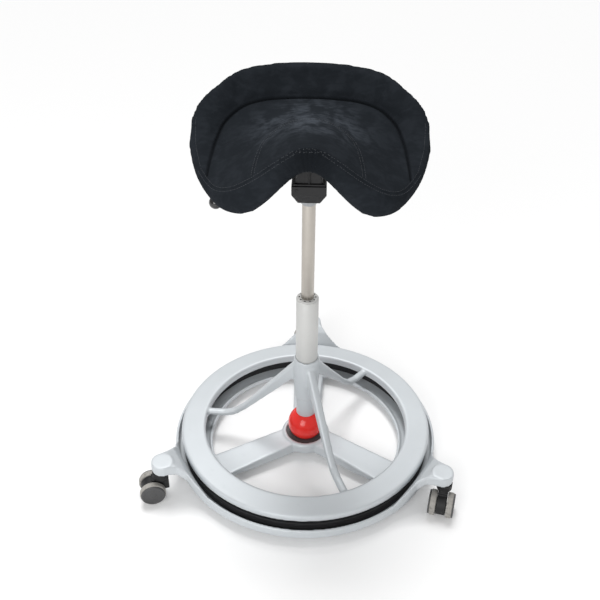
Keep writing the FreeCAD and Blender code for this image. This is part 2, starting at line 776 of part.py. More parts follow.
def make_gas_lift():
    """The piston rod that stands in the column and the cylinder that slides on it."""
    rod_low = "tube_bottom - seat_gap - 2 * clip_thickness"
    piston_low = "cylinder_bottom + seal_length + seat_gap"
    bore = "cylinder_radius - cylinder_wall"
    turned_piece("piston_rod", [
        ("0", rod_low),
        ("piston_rod_radius", rod_low),
        ("piston_rod_radius", "%s + piston_length" % piston_low),
        ("0", "%s + piston_length" % piston_low),
    ])
    turned_piece("piston", [
        ("piston_rod_radius", piston_low),
        ("%s - running_gap" % bore, piston_low),
        ("%s - running_gap" % bore, "%s + piston_length" % piston_low),
        ("piston_rod_radius", "%s + piston_length" % piston_low),
    ])
    turned_piece("rod_seal", [
        ("piston_rod_radius + running_gap", "cylinder_bottom"),
        (bore, "cylinder_bottom"),
        (bore, "cylinder_bottom + seal_length"),
        ("piston_rod_radius + running_gap", "cylinder_bottom + seal_length"),
    ])
    valve_bore = "valve_radius + running_gap"
    turned_piece("gas_cylinder", [
        (bore, "cylinder_bottom"),
        ("cylinder_radius", "cylinder_bottom"),
        ("cylinder_radius", "cylinder_top - taper_length"),
        ("cylinder_radius - taper_step", "cylinder_top"),
        (valve_bore, "cylinder_top"),
        (valve_bore, "cylinder_top - valve_depth - seat_gap"),
        ("0", "cylinder_top - valve_depth - seat_gap"),
        ("0", "cylinder_top - valve_depth - cylinder_cap"),
        (bore, "cylinder_top - valve_depth - cylinder_cap"),
    ])
    turned_piece("release_pin", [
        ("0", "cylinder_top - valve_depth + valve_reach / 2"),
        ("valve_radius", "cylinder_top - valve_depth + valve_reach / 2"),
        ("valve_radius", "cylinder_top + valve_reach - valve_radius + valve_tip_radius"),
        ("valve_tip_radius", "cylinder_top + valve_reach"),
        ("0", "cylinder_top + valve_reach"),
    ])


def make_mechanism():
    """The housing on the gas lift's taper and the bracket that carries the seat."""
    body = new_body("mechanism_housing")
    floor_half = "housing_half_width"
    column = level_loft(body, "housing_shell", [
        ("housing_bottom", ("housing_foot_half", "housing_foot_half", "housing_foot_half")),
        ("housing_shoulder", (floor_half, "housing_front", "housing_back")),
        ("housing_top", (floor_half, "housing_front", "housing_back")),
    ])
    body.Tip = column
    room = body.newObject("PartDesign::SubtractiveBox", "housing_room")
    room.AttachmentSupport = [(origin_part(body, "XY_Plane"), "")]
    room.MapMode = "FlatFace"
    bind(room, Length="2 * (housing_half_width - housing_wall)",
         Width="housing_front + housing_back - 2 * housing_wall",
         Height="housing_top - housing_shoulder + overlap",
         AttachmentOffset__Base__x="-(housing_half_width - housing_wall)",
         AttachmentOffset__Base__y="-(housing_front - housing_wall)",
         AttachmentOffset__Base__z="housing_shoulder")
    body.Tip = room
    taper = revolve(body, "taper_bore", [
        ("0", "housing_bottom - overlap"),
        ("cylinder_radius + running_gap", "housing_bottom - overlap"),
        ("cylinder_radius + running_gap", "housing_shoulder + overlap"),
        ("0", "housing_shoulder + overlap"),
    ], kind="Groove")
    body.Tip = taper
    window = body.newObject("PartDesign::SubtractiveBox", "lever_window")
    window.AttachmentSupport = [(origin_part(body, "XY_Plane"), "")]
    window.MapMode = "FlatFace"
    bind(window, Length="2 * housing_wall", Width="2 * (lever_rod_radius + lever_play)",
         Height="lever_window_height",
         AttachmentOffset__Base__x="-(housing_half_width + housing_wall / 2)",
         AttachmentOffset__Base__y="lever_offset - lever_rod_radius - lever_play",
         AttachmentOffset__Base__z="lever_pivot_height + lever_boss_radius - lever_window_height")
    body.Tip = window
    pin_hole = body.newObject("PartDesign::SubtractiveCylinder", "pivot_hole")
    pin_hole.AttachmentSupport = [(origin_part(body, "XZ_Plane"), "")]
    pin_hole.MapMode = "FlatFace"
    bind(pin_hole, Radius="lever_pin_radius", Height="housing_front + housing_back + 2 * overlap",
         AttachmentOffset__Base__x="-lever_pivot_reach",
         AttachmentOffset__Base__y="lever_pivot_height",
         AttachmentOffset__Base__z="-(housing_back + overlap)")
    body.Tip = pin_hole
    keep(body, "mechanism_housing")
    turned_piece("taper_cone", [
        ("cylinder_radius", "cone_bottom"),
        ("cone_lower_radius", "cone_bottom"),
        ("cone_upper_radius", "housing_bottom"),
        ("cylinder_radius", "housing_bottom"),
    ])
    make_seat_bracket()
    make_seat_screws()


def level_loft(body, name, levels):
    """Join level rectangles, each given as (height, (half width, front, back))."""
    sketches = []
    for i, (height, (half, front, back)) in enumerate(levels):
        corners = [("-(%s)" % half, "-(%s)" % front), (half, "-(%s)" % front), (half, back),
                   ("-(%s)" % half, back)]
        sketches.append(outline(body, "%s_level_%d" % (name, i), "XY_Plane", corners, height))
    joined = body.newObject("PartDesign::AdditiveLoft", name)
    joined.Profile = sketches[0]
    joined.Sections = sketches[1:]
    joined.Ruled = True
    return joined


def make_seat_bracket():
    """A cover on the housing with a gabled block that carries the seat, ribbed in front."""
    body = new_body("seat_bracket")
    cover = ("housing_half_width - bracket_inset", "housing_front - bracket_inset",
             "housing_back - bracket_inset")
    level_loft(body, "bracket_cover", [
        ("housing_top", cover),
        ("housing_top + bracket_plate", cover),
    ])
    level_loft(body, "bracket_block", [
        ("housing_top", ("bracket_half_width", "bracket_front", "bracket_back")),
        ("bracket_top", ("bracket_top_half_width", "bracket_top_front", "bracket_top_back")),
    ])
    rib = level_loft(body, "bracket_rib", [
        ("housing_top", ("bracket_rib_half", "bracket_front + bracket_rib_depth", "0")),
        ("bracket_top", ("bracket_rib_half", "bracket_top_front + bracket_rib_depth", "0")),
    ])
    body.Tip = rib
    spots = upright_rods("bracket_screw_holes", "screw_radius", "bracket_top - screw_grip",
                         "screw_grip + overlap")
    keep(cut("bracket_cut", body, spots), "seat_bracket")


def upright_rods(name, radius, low, height):
    """Four upright rods at the seat screws' places."""
    rods = []
    for i, (across, along) in enumerate(((1, "-screw_front"), (-1, "-screw_front"),
                                         (1, "screw_back"), (-1, "screw_back"))):
        rod = primitive("Cylinder", "%s_%d" % (name, i), Radius=radius, Height=height)
        bind(rod, Placement__Base__x="%d * screw_across" % across, Placement__Base__y=along,
             Placement__Base__z=low)
        rods.append(rod)
    return fuse(name, rods)


def make_seat_screws():
    keep(upright_rods("screw_shanks", "screw_radius", "bracket_top - screw_grip", "2 * screw_grip"),
         "seat_screws")


def make_lever():
    """The height lever: a cranked rod on a cross pin, with a finger over the release pin."""
    boss = primitive("Cylinder", "lever_boss", place(axis=(1, 0, 0), angle=90),
                     Radius="lever_boss_radius", Height="lever_offset + 2 * lever_half_width")
    bind(boss, Placement__Base__x="-lever_pivot_reach",
         Placement__Base__y="lever_offset + lever_half_width",
         Placement__Base__z="lever_pivot_height")
    finger_low = "cylinder_top + valve_reach + seat_gap"
    finger = primitive("Box", "lever_finger", Length="lever_pivot_reach + valve_tip_radius",
                       Width="2 * lever_half_width",
                       Height="lever_pivot_height + lever_boss_radius - (%s)" % finger_low)
    bind(finger, Placement__Base__x="-lever_pivot_reach", Placement__Base__y="-lever_half_width",
         Placement__Base__z=finger_low)
    pivot = FreeCAD.Vector(-size("lever_pivot_reach"), size("lever_offset"),
                           size("lever_pivot_height"))
    bend = FreeCAD.Vector(-size("lever_bend_reach"), pivot.y, pivot.z - size("lever_bend_drop"))
    knob = FreeCAD.Vector(-size("lever_knob_reach"), pivot.y, size("lever_knob_height"))
    bar = doc.addObject("Part::Feature", "lever_bar")
    path = Part.Wire([Part.makeLine(pivot, bend), Part.makeLine(bend, knob)])
    section = Part.Wire(Part.makeCircle(size("lever_rod_radius"), pivot, bend - pivot))
    bar.Shape = path.makePipeShell([section], True, False, 2)
    pin_hole = primitive("Cylinder", "lever_pin_hole", place(axis=(1, 0, 0), angle=90),
                         Radius="lever_pin_radius + running_gap",
                         Height="2 * (lever_offset + 2 * lever_half_width)")
    bind(pin_hole, Placement__Base__x="-lever_pivot_reach",
         Placement__Base__y="2 * (lever_offset + lever_half_width)",
         Placement__Base__z="lever_pivot_height")
    keep(cut("lever_cut", fuse("lever_joined", [boss, finger, bar]), pin_hole), "lever_rod")
    ball = primitive("Sphere", "knob_sphere", Radius="lever_knob_radius")
    bind(ball, Placement__Base__x="-lever_knob_reach", Placement__Base__y="lever_offset",
         Placement__Base__z="lever_knob_height")
    bore = doc.addObject("Part::Feature", "knob_bore")
    bore.Shape = Part.makeCylinder(size("lever_rod_radius"), 2 * size("lever_knob_radius"),
                                   knob, bend - knob)
    keep(cut("knob_cut", ball, bore), "lever_knob")
    pin = primitive("Cylinder", "lever_pin", place(axis=(1, 0, 0), angle=90),
                    Radius="lever_pin_radius", Height="housing_front + housing_back")
    bind(pin, Placement__Base__x="-lever_pivot_reach", Placement__Base__y="housing_back",
         Placement__Base__z="lever_pivot_height")
    keep(pin, "lever_pivot_pin")


def bow(start, end, rise):
    """An arc between two points whose middle stands off the chord by a rise."""
    chord = end - start
    square = FreeCAD.Vector(0, -chord.z, chord.y).normalize()
    return Part.Arc(start, (start + end) * 0.5 + square * rise, end).toShape()


def station_points(station, side):
    """Corners of the saddle's section at one station, and the section's share of full depth."""
    at = {name: size(station + "_" + name) for name in STATION_SIZES}
    share = (at["back"] - at["front"]) / (size("middle_back") - size("middle_front"))
    lean = size("front_lean") * share
    rounding = size("rim_round") * (1 + 3 * share) / 4
    padding = size("cushion_thickness") * (0.3 + 0.7 * share)
    heel_drop = max(size("heel_drop") * share, size("heel_least"))
    spots = (
        (at["front"] + lean, at["front_low"]),
        (at["front"] + lean / 2, at["front_top"]),
        (at["dip"], at["dip_height"]),
        (at["seam"], at["seam_height"]),
        (at["back"] - rounding * 1.6, at["back_top"] - rounding / 2),
        (at["back"], at["back_top"] - rounding),
        (at["seam"] + size("heel_back") * share, at["seam_height"] - heel_drop),
        (at["dip"] - lean, at["dip_height"] - padding),
    )
    level = size("bracket_top")
    return [FreeCAD.Vector(side * at["across"], y, level + z) for y, z in spots], share


def across_saddle(names, section):
    """Sections of the named stations from the saddle's left to its right."""
    left = [section(*station_points(name, -1)) for name in reversed(names[1:])]
    return left + [section(*station_points(name, 1)) for name in names]


def cushion_section(corners, share):
    """The padded section: front roll, crown, well, raised band, rim, back and underside."""
    low, top, dip, seam, rim_in, rim_out, heel, under = corners
    return Part.Wire([
        bow(low, top, size("front_bulge") * share),
        bow(top, dip, size("crown") * share),
        bow(dip, seam, -size("well_sag") * share),
        bow(seam, rim_in, -size("band_sag") * share),
        bow(rim_in, rim_out, size("rim_round") * (1 + 3 * share) / 12),
        bow(rim_out, heel, size("back_bulge") * share),
        Part.makeLine(heel, under),
        Part.makeLine(under, low),
    ])


def pan_section(corners, share):
    """A strip along the underside of the padding, standing into it a little."""
    low, heel, under = corners[0], corners[6], corners[7]
    reach = size("pan_reach")
    front = under + (low - under) * reach
    back = under + (heel - under) * reach
    up = FreeCAD.Vector(0, 0, size("overlap"))
    down = FreeCAD.Vector(0, 0, -size("pan_thickness"))
    strip = [front + up, under + up, back + up, back + down, under + down, front + down]
    return Part.makePolygon(strip + strip[:1])


def make_saddle():
    """The padded saddle over the shell that carries it."""
    cushion = doc.addObject("Part::Feature", "cushion")
    cushion.Shape = Part.makeLoft(across_saddle(list(STATIONS), cushion_section), True, False)
    keep(cushion, "seat_cushion")
    strip = doc.addObject("Part::Feature", "pan_strip")
    strip.Shape = Part.makeLoft(across_saddle(PAN_STATIONS, pan_section), True, False)
    block = primitive("Box", "pan_block", Length="2 * pan_block_half_width",
                      Width="pan_block_front + pan_block_back", Height="pan_block_height")
    bind(block, Placement__Base__x="-pan_block_half_width", Placement__Base__y="-pan_block_front",
         Placement__Base__z="bracket_top")
    rods = upright_rods("pan_screw_holes", "screw_radius", "bracket_top - overlap",
                        "screw_grip + overlap")
    trimmed = cut("pan_trim", fuse("pan_joined", [strip, block]), cushion)
    keep(cut("pan_cut", trimmed, rods), "seat_pan")


make_base_casting()
make_cup_and_bumper()
for castor, turn, trail in (("rear_castor", 0, "rear_trail_angle"),
                            ("front_left_castor", 120, "front_left_trail_angle"),
                            ("front_right_castor", 240, "front_right_trail_angle")):
    make_castor(castor, size("rear_arm_angle") + turn, size(trail))
make_ball_and_stem()
make_foot_ring()
make_column()
make_gas_lift()
make_mechanism()
make_lever()
make_saddle()
doc.recompute()

for thing in doc.Objects:
    if "Invalid" in thing.State or "Error" in thing.State:
        raise RuntimeError("%s failed: %s" % (thing.Label, thing.State))
for thing in nodes:
    if thing.Shape.isNull() or not thing.Shape.isValid():
        raise RuntimeError("%s has no valid shape" % thing.Label)

os.makedirs("parts", exist_ok=True)
for thing in nodes:
    thing.Shape.exportStep("parts/%s.step" % thing.Label)
print("%d pieces written" % len(nodes))
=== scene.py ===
import json
import math

import bmesh
import bpy
from bpy.props import FloatProperty, FloatVectorProperty, IntProperty, PointerProperty
from mathutils import Matrix, Quaternion, Vector
from mathutils.bvhtree import BVHTree
from mathutils.kdtree import KDTree


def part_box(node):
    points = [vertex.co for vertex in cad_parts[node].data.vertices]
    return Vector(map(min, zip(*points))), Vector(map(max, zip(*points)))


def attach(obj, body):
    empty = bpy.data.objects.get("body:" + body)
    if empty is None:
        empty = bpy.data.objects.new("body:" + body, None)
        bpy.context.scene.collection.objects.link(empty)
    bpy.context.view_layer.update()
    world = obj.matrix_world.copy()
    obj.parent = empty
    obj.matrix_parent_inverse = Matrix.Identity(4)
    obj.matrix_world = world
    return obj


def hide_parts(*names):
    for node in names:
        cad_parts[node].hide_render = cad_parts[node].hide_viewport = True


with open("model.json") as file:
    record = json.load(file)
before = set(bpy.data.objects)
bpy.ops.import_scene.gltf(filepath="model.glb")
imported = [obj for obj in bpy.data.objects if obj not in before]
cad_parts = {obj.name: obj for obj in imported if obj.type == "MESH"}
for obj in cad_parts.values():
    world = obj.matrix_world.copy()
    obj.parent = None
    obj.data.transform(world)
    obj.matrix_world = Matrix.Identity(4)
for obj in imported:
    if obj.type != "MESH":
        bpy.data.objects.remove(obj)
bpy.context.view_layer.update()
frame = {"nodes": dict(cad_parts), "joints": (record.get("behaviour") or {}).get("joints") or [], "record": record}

bl_info = {
    "name": "Saddle stool",
    "version": (1, 0, 0),
    "blender": (4, 5, 0),
    "location": "View3D > Sidebar > Stool",
    "description": "Dresses the packed saddle stool with its cushion, finishes and studio",
    "category": "Object",
}

BODIES = frame["record"]["behaviour"]["bodies"]
BODY_OF = {node: body for body, nodes in BODIES.items() for node in nodes}
SLOT_OF = {part["node"]: part["material_slot"] for part in frame["record"]["subparts"]}
JOINTS = {joint["name"]: joint for joint in frame["joints"]}
CASTORS = ("rear_castor", "front_left_castor", "front_right_castor")
SIDES = ("left", "right")

# Finishes are named apart from the slots, since the frame has a flat material by each slot's name
FINISH_NAME = "stool_%s"

# Points this near are one; edges bent further are sharp; faces bent less are one
MERGE = 1e-6
SHARP = math.radians(30)
FLAT = math.radians(1)

SENSOR_WIDTH = 36
FLOOR_COLOUR = (0.9, 0.9, 0.9, 1)

# Depths below the guide bush's top face, and distances inside its edge, over which the painted shade of its slots
# begins
SLOT_SHADE_DEPTHS = (0.0002, 0.0007)
SLOT_SHADE_EDGES = (0.0025, 0.0015)

# The patch of the seat painted lighter for wear and as painted light: the middle along Y, half its width and half
# its length
WORN_LIT_MIDDLE, WORN_LIT_WIDE, WORN_LIT_LONG = 0.010, 0.130, 0.120

# The ball's bore as a share of its stem's radius
BORE_SHARE = 0.8

# Radii of a castor wheel and its tread as shares of the wheel's rim
CAP_EDGE, DISH_FOOT, DISH_TOP, FLANGE_FOOT, FLANGE = 0.28, 0.32, 0.84, 0.90, 1.09
WELL, BOSS, AXLE_BORE, ROLL = 0.8, 0.32, 0.165, 1.16

# Places of the tread's grooves as shares of its width
TREAD_GROOVES = (0.36, 0.64)

# Smoothing rounds of the lever's rod, of the cover before it swells and after, and steps of the cloth
ROD_EASE, COVER_EASE, SWOLLEN_EASE, CLOTH_STEPS = 2, 9, 6, 14

# The cloth is held by the shell, the more the further it faces down past a share, and by two seams
HELD_FROM, HELD_OVER, HELD_AT_SEAM = 0.25, 0.4, 0.9
HOLDING_SEAMS = ("crease", "front")

# Distances between a seam's points for holding the cloth, drawing the cover in and laying stitches
HOLD_SPACING, SINK_SPACING, STITCH_SPACING = 0.002, 0.001, 0.0005

# Gathers under the pommel: their middle along Y and above the bracket, half their width, the furthest
# back and the least forward-facing point they reach, their waves, how the waves sway, and their shade
GATHER_Y, GATHER_RISE, GATHER_HALF, GATHER_BACK, GATHER_FACING = -0.160, 0.017, 0.075, -0.13, -0.2
GATHER_WAVES, GATHER_SWAY, GATHER_SWAYS, GATHER_SHADE = 38, 1.4, 9, 0.6

# How fast the shade of a seam fades as it gets shallower, and the horseshoe's share of a seam's depth
SHADE_POWER = 1.5
HORSESHOE_SHARE = 0.7

# The rim is stitched in front of this place along Y
RIM_STITCHED_TO = 0.05
STITCH_SIDES, STITCH_RINGS = 6, 5

# Half of each seam's route over the saddle, in metres, from the middle out to its right-hand end,
# with heights above the top of the seat bracket
SEAM_ROUTES = {
    "crease": (
        (0, 0.1215, 0.076), (0.052, 0.1195, 0.0755), (0.098, 0.111, 0.074), (0.138, 0.093, 0.066),
        (0.168, 0.061, 0.049), (0.181, 0.030, 0.032), (0.189, -0.010, 0.016), (0.1935, -0.073, -0.0035),
    ),
    "front": (
        (0, -0.157, 0.0965), (0.024, -0.157, 0.091), (0.0555, -0.157, 0.069), (0.1015, -0.1525, 0.033),
        (0.141, -0.140, 0.006), (0.171, -0.115, -0.008), (0.192, -0.086, -0.008), (0.211, -0.052, 0),
    ),
    "horseshoe": (
        (0, 0.005, 0.080), (0.030, 0.0035, 0.077), (0.058, -0.008, 0.068), (0.082, -0.041, 0.057),
        (0.0935, -0.093, 0.048), (0.0995, -0.147, 0.037),
    ),
    "rim": (
        (0, 0.161, 0.143), (0.084, 0.154, 0.140), (0.132, 0.141, 0.134), (0.172, 0.113, 0.120),
        (0.204, 0.085, 0.099), (0.222, 0.063, 0.080), (0.231, 0.037, 0.056), (0.228, 0.002, 0.031),
        (0.219, -0.028, 0.014), (0.211, -0.050, 0.001),
    ),
}


class StoolSizes(bpy.types.PropertyGroup):
    """Sizes of the dressed pieces"""

    casting_mesh: FloatProperty(
        name="Casting mesh", description="Mesh spacing of the two large castings",
        default=0.0027, unit="LENGTH")
    casting_ease: IntProperty(
        name="Casting ease", description="Smoothing rounds that give the castings soft edges",
        default=4)
    moulding_mesh: FloatProperty(
        name="Moulding mesh", description="Mesh spacing of the small mouldings",
        default=0.0012, unit="LENGTH")
    moulding_ease: IntProperty(
        name="Moulding ease", description="Smoothing rounds that give the mouldings soft edges",
        default=5)
    pan_mesh: FloatProperty(
        name="Pan mesh", description="Mesh spacing of the seat shell",
        default=0.003, unit="LENGTH")
    edge_round: FloatProperty(
        name="Edge rounding", description="Rounding on the edges of turned and machined pieces",
        default=0.0008, unit="LENGTH")
    wheel_rim: FloatProperty(
        name="Wheel rim", description="Radius of a castor wheel under its tread",
        default=0.025, unit="LENGTH")
    wheel_inner: FloatProperty(
        name="Wheel inner face", description="Distance of a wheel's inner face from the castor's middle",
        default=0.012, unit="LENGTH")
    wheel_outer: FloatProperty(
        name="Wheel outer face", description="Distance of a wheel's outer face from the castor's middle",
        default=0.029, unit="LENGTH")
    tread_width: FloatProperty(
        name="Tread width", description="Width of the soft tread on a castor wheel",
        default=0.013, unit="LENGTH")
    cushion_mesh: FloatProperty(
        name="Cushion mesh", description="Mesh spacing of the cushion before it is subdivided",
        default=0.0042, unit="LENGTH")
    cover_lift: FloatProperty(
        name="Cover lift", description="How far the smoothed cover is set out, to make up for smoothing",
        default=0.0015, unit="LENGTH")
    cushion_swell: FloatProperty(
        name="Cushion swell", description="Most that a point of the cover may move as it swells",
        default=0.005, unit="LENGTH")
    cushion_pressure: FloatProperty(
        name="Cushion pressure", description="Pressure of the foam under the cover", default=4.0)
    crease_depth: FloatProperty(
        name="Crease depth", description="Depth of the tuck between the well and the raised band",
        default=0.0042, unit="LENGTH")
    seam_depth: FloatProperty(
        name="Seam depth", description="Depth to which a sewn seam draws the cover in",
        default=0.0013, unit="LENGTH")
    seam_width: FloatProperty(
        name="Seam width", description="Half-width of the valley along a seam",
        default=0.0027, unit="LENGTH")
    row_gap: FloatProperty(
        name="Row gap", description="Distance between the two rows of stitches along a seam",
        default=0.0075, unit="LENGTH")
    stitch_pitch: FloatProperty(
        name="Stitch pitch", description="Distance from one stitch to the next",
        default=0.0050, unit="LENGTH")
    stitch_length: FloatProperty(
        name="Stitch length", description="Length of one stitch", default=0.0036, unit="LENGTH")
    thread_radius: FloatProperty(
        name="Thread radius", description="Half the thickness of the sewing thread",
        default=0.00036, unit="LENGTH")
    gather_depth: FloatProperty(
        name="Gather depth", description="Depth of the gathers under the pommel",
        default=0.0016, unit="LENGTH")


class StoolColours(bpy.types.PropertyGroup):
    """Colours of the finishes"""

    cast_silver: FloatVectorProperty(
        name="Cast silver", description="Powder coat of the two castings and the stem sleeve",
        default=(0.63, 0.665, 0.69), subtype="COLOR")
    tube_silver: FloatVectorProperty(
        name="Tube silver", description="Satin silver of the column tube and its bush",
        default=(0.65, 0.65, 0.635), subtype="COLOR")
    rod_nickel: FloatVectorProperty(
        name="Rod nickel", description="Satin plating of the gas cylinder",
        default=(0.52, 0.485, 0.44), subtype="COLOR")
    steel: FloatVectorProperty(
        name="Steel", description="Drawn steel of pins, axles and screws",
        default=(0.52, 0.52, 0.52), subtype="COLOR")
    ball_red: FloatVectorProperty(
        name="Ball red", description="Glossy ball under the column",
        default=(0.93, 0.036, 0.029), subtype="COLOR")
    black: FloatVectorProperty(
        name="Black", description="Black mouldings", default=(0.006, 0.006, 0.007), subtype="COLOR")
    bush_grey: FloatVectorProperty(
        name="Bush grey", description="Bearing plastic of the taper cone",
        default=(0.36, 0.37, 0.38), subtype="COLOR")
    rubber: FloatVectorProperty(
        name="Rubber", description="Rubber ring in the base and bump stop of the lift",
        default=(0.018, 0.018, 0.02), subtype="COLOR")
    wheel_grey: FloatVectorProperty(
        name="Wheel grey", description="Castor wheel discs and the liner of the ball cup",
        default=(0.075, 0.075, 0.076), subtype="COLOR")
    tread_grey: FloatVectorProperty(
        name="Tread grey", description="Castor treads", default=(0.36, 0.345, 0.32), subtype="COLOR")
    suede: FloatVectorProperty(
        name="Suede", description="Suede where the nap lies away",
        default=(0.0150, 0.0180, 0.0220), subtype="COLOR")
    nap: FloatVectorProperty(
        name="Nap", description="Suede where the nap is brushed up",
        default=(0.070, 0.080, 0.096), subtype="COLOR")
    thread: FloatVectorProperty(
        name="Thread", description="Sewing thread", default=(0.065, 0.071, 0.080), subtype="COLOR")


class StoolStudio(bpy.types.PropertyGroup):
    """The camera and the light"""

    camera_place: FloatVectorProperty(
        name="Camera place", description="Where the camera stands",
        default=(0.020, -1.5178, 1.5225), subtype="TRANSLATION", unit="LENGTH")
    camera_pitch: FloatProperty(
        name="Camera pitch", description="How far the camera looks down",
        default=math.radians(35.605), subtype="ANGLE")
    camera_roll: FloatProperty(
        name="Camera roll", description="How far the camera is turned about its line of sight",
        default=math.radians(1.33), subtype="ANGLE")
    focal_length: FloatProperty(
        name="Focal length", description="Focal length on a 36 mm sensor", default=51.0, unit="CAMERA")
    camera_shift: FloatProperty(
        name="Camera shift", description="How far the picture is moved across, as a share of its width",
        default=-0.0277)
    sky: FloatProperty(
        name="Sky", description="Level of the even light from all round", default=0.40)
    sun: FloatProperty(
        name="Overhead light", description="Level of the broad overhead light", default=1.85)
    sun_spread: FloatProperty(
        name="Overhead spread", description="Width of the broad overhead light",
        default=math.radians(27), subtype="ANGLE")
    sun_turn: FloatVectorProperty(
        name="Overhead turn", description="How the broad overhead light is turned from straight down",
        default=(math.radians(-20), math.radians(-4), 0), subtype="EULER")
    panel_power: FloatProperty(
        name="Panel power", description="Power of the soft panel beside the camera",
        default=34.0, unit="POWER")
    panel_size: FloatVectorProperty(
        name="Panel size", description="Width and height of the soft panel",
        size=2, default=(1.4, 1.8), unit="LENGTH")
    panel_place: FloatVectorProperty(
        name="Panel place", description="Where the soft panel stands",
        default=(-0.9, -2.4, 1.5), subtype="TRANSLATION", unit="LENGTH")
    panel_aim: FloatVectorProperty(
        name="Panel aim", description="The point that the soft panel faces",
        default=(0, 0, 0.5), subtype="TRANSLATION", unit="LENGTH")
    floor_size: FloatProperty(
        name="Floor size", description="Width of the studio floor", default=14.0, unit="LENGTH")
    floor_lift: FloatProperty(
        name="Floor lift", description="Light added to the floor where the camera sees it", default=0.10)


class Value:
    """A shader socket that joins in Python arithmetic by adding Math nodes."""

    def __init__(self, finish, socket):
        self.finish = finish
        self.socket = socket

    def __add__(self, other):
        return self.finish.math("ADD", self, other)

    __radd__ = __add__

    def __sub__(self, other):
        return self.finish.math("SUBTRACT", self, other)

    def __rsub__(self, other):
        return self.finish.math("SUBTRACT", other, self)

    def __mul__(self, other):
        return self.finish.math("MULTIPLY", self, other)

    __rmul__ = __mul__

    def __truediv__(self, other):
        return self.finish.math("DIVIDE", self, other)

    def __rtruediv__(self, other):
        return self.finish.math("DIVIDE", other, self)

    def __pow__(self, other):
        return self.finish.math("POWER", self, other)


class Finish:
    """A material, or a world, put together from nodes."""

    def __init__(self, name, owner=None):
        self.owner = owner or bpy.data.materials.new(FINISH_NAME % name)
        self.owner.use_nodes = True
        self.tree = self.owner.node_tree
        self.tree.nodes.clear()
        self.place = self.node("ShaderNodeTexCoord", output="Object")

    def node(self, kind, settings=None, inputs=None, output=0):
        """Add a node, make its settings, fill its sockets and give back one of its outputs."""
        made = self.tree.nodes.new(kind)
        for key, value in (settings or {}).items():
            setattr(made, key, value)
        for key, value in (inputs or {}).items():
            if isinstance(value, Value):
                self.tree.links.new(value.socket, made.inputs[key])
            else:
                made.inputs[key].default_value = value
        return Value(self, made.outputs[output]) if made.outputs else None

    def axes(self):
        """The three coordinates of a point on the object."""
        parts = self.node("ShaderNodeSeparateXYZ", None, {"Vector": self.place}).socket.node.outputs
        return [Value(self, parts[axis]) for axis in "XYZ"]

    def math(self, operation, *values):
        """Add a Math node."""
        return self.node("ShaderNodeMath", {"operation": operation}, dict(enumerate(values)))

    def noise(self, scale, detail, stretch=None, wander=0.0):
        """Noise of about a given number of grains to the metre, stretched along an axis if wanted."""
        place = self.place
        if stretch:
            place = self.node("ShaderNodeMapping", None, {"Vector": place, "Scale": stretch})
        return self.node("ShaderNodeTexNoise", None,
                         {"Vector": place, "Scale": scale, "Detail": detail, "Distortion": wander})

    def between(self, value, low, high):
        """A smooth step from 0 at one value to 1 at another."""
        return self.node("ShaderNodeMapRange", {"interpolation_type": "SMOOTHSTEP"},
                         {"Value": value, "From Min": low, "From Max": high})

    def blend(self, share, low, high):
        """A mix of two colours."""
        return self.node("ShaderNodeMix", {"data_type": "RGBA"}, {0: share, 6: low, 7: high}, 2)

    def bump(self, height, distance, strength):
        """A normal from a height, with the height of 1 given in metres."""
        return self.node("ShaderNodeBump", None,
                         {"Height": height, "Distance": distance, "Strength": strength})

    def surface(self, sockets):
        """Close the material with a Principled shader."""
        shader = self.node("ShaderNodeBsdfPrincipled", None, sockets)
        self.node("ShaderNodeOutputMaterial", None, {"Surface": shader})
        return self.owner


def tone(colour, share=1.0):
    """A colour with its alpha, made lighter or darker by a share."""
    return tuple(min(part * share, 1.0) for part in colour) + (1.0,)


def cast_paint(colours):
    """Silver powder coat: fine flake, faint orange peel and a slow drift of tone."""
    paint = Finish("cast_silver")
    drift = paint.noise(scale=14, detail=3)
    flake = paint.noise(scale=2600, detail=1)
    peel = paint.noise(scale=420, detail=2)
    scuff = paint.between(paint.noise(scale=60, detail=5, stretch=(1, 1, 3)), low=0.60, high=0.74)
    base = paint.blend(drift, tone(colours.cast_silver, 0.95), tone(colours.cast_silver, 1.04))
    return paint.surface({
        "Base Color": paint.blend(flake * 0.12 + scuff * 0.10, base, tone(colours.cast_silver, 0.80)),
        "Metallic": 0.22,
        "Roughness": 0.40 + drift * 0.08 + flake * 0.06 + scuff * 0.06,
        "Normal": paint.bump(peel + flake * 0.4, distance=0.00012, strength=0.5),
    })


def tube_paint(colours):
    """Satin silver on the drawn tube, with faint lines along it and a few rub marks."""
    paint = Finish("tube_silver")
    lines = paint.noise(scale=700, detail=2, stretch=(1, 1, 0.02))
    drift = paint.noise(scale=24, detail=3)
    rub = paint.between(paint.noise(scale=90, detail=4, stretch=(1, 1, 0.35)), low=0.62, high=0.78)
    base = paint.blend(drift, tone(colours.tube_silver, 0.94), tone(colours.tube_silver, 1.05))
    return paint.surface({
        "Base Color": paint.blend(rub * 0.35 + lines * 0.08, base, tone(colours.tube_silver, 0.72)),
        "Metallic": 0.35,
        "Roughness": 0.34 + lines * 0.10 + rub * 0.12,
        "Normal": paint.bump(lines, distance=0.00006, strength=0.6),
    })


def ground_metal(name, colour, rough):
    """Metal ground round its axis: fine rings, a slow drift and small stains."""
    metal = Finish(name)
    rings = metal.noise(scale=900, detail=2, stretch=(0.03, 0.03, 1))
    drift = metal.noise(scale=30, detail=3)
    stain = metal.between(metal.noise(scale=160, detail=4), low=0.60, high=0.80)
    return metal.surface({
        "Base Color": metal.blend(drift * 0.5 + stain * 0.3, tone(colour, 1.05), tone(colour, 0.80)),
        "Metallic": 1.0,
        "Roughness": rough + rings * 0.12 + stain * 0.08,
        "Normal": metal.bump(rings, distance=0.00004, strength=0.5),
    })


def drawn_steel(colours):
    """Steel of pins, axles and screws."""
    return ground_metal("steel", colours.steel, rough=0.26)


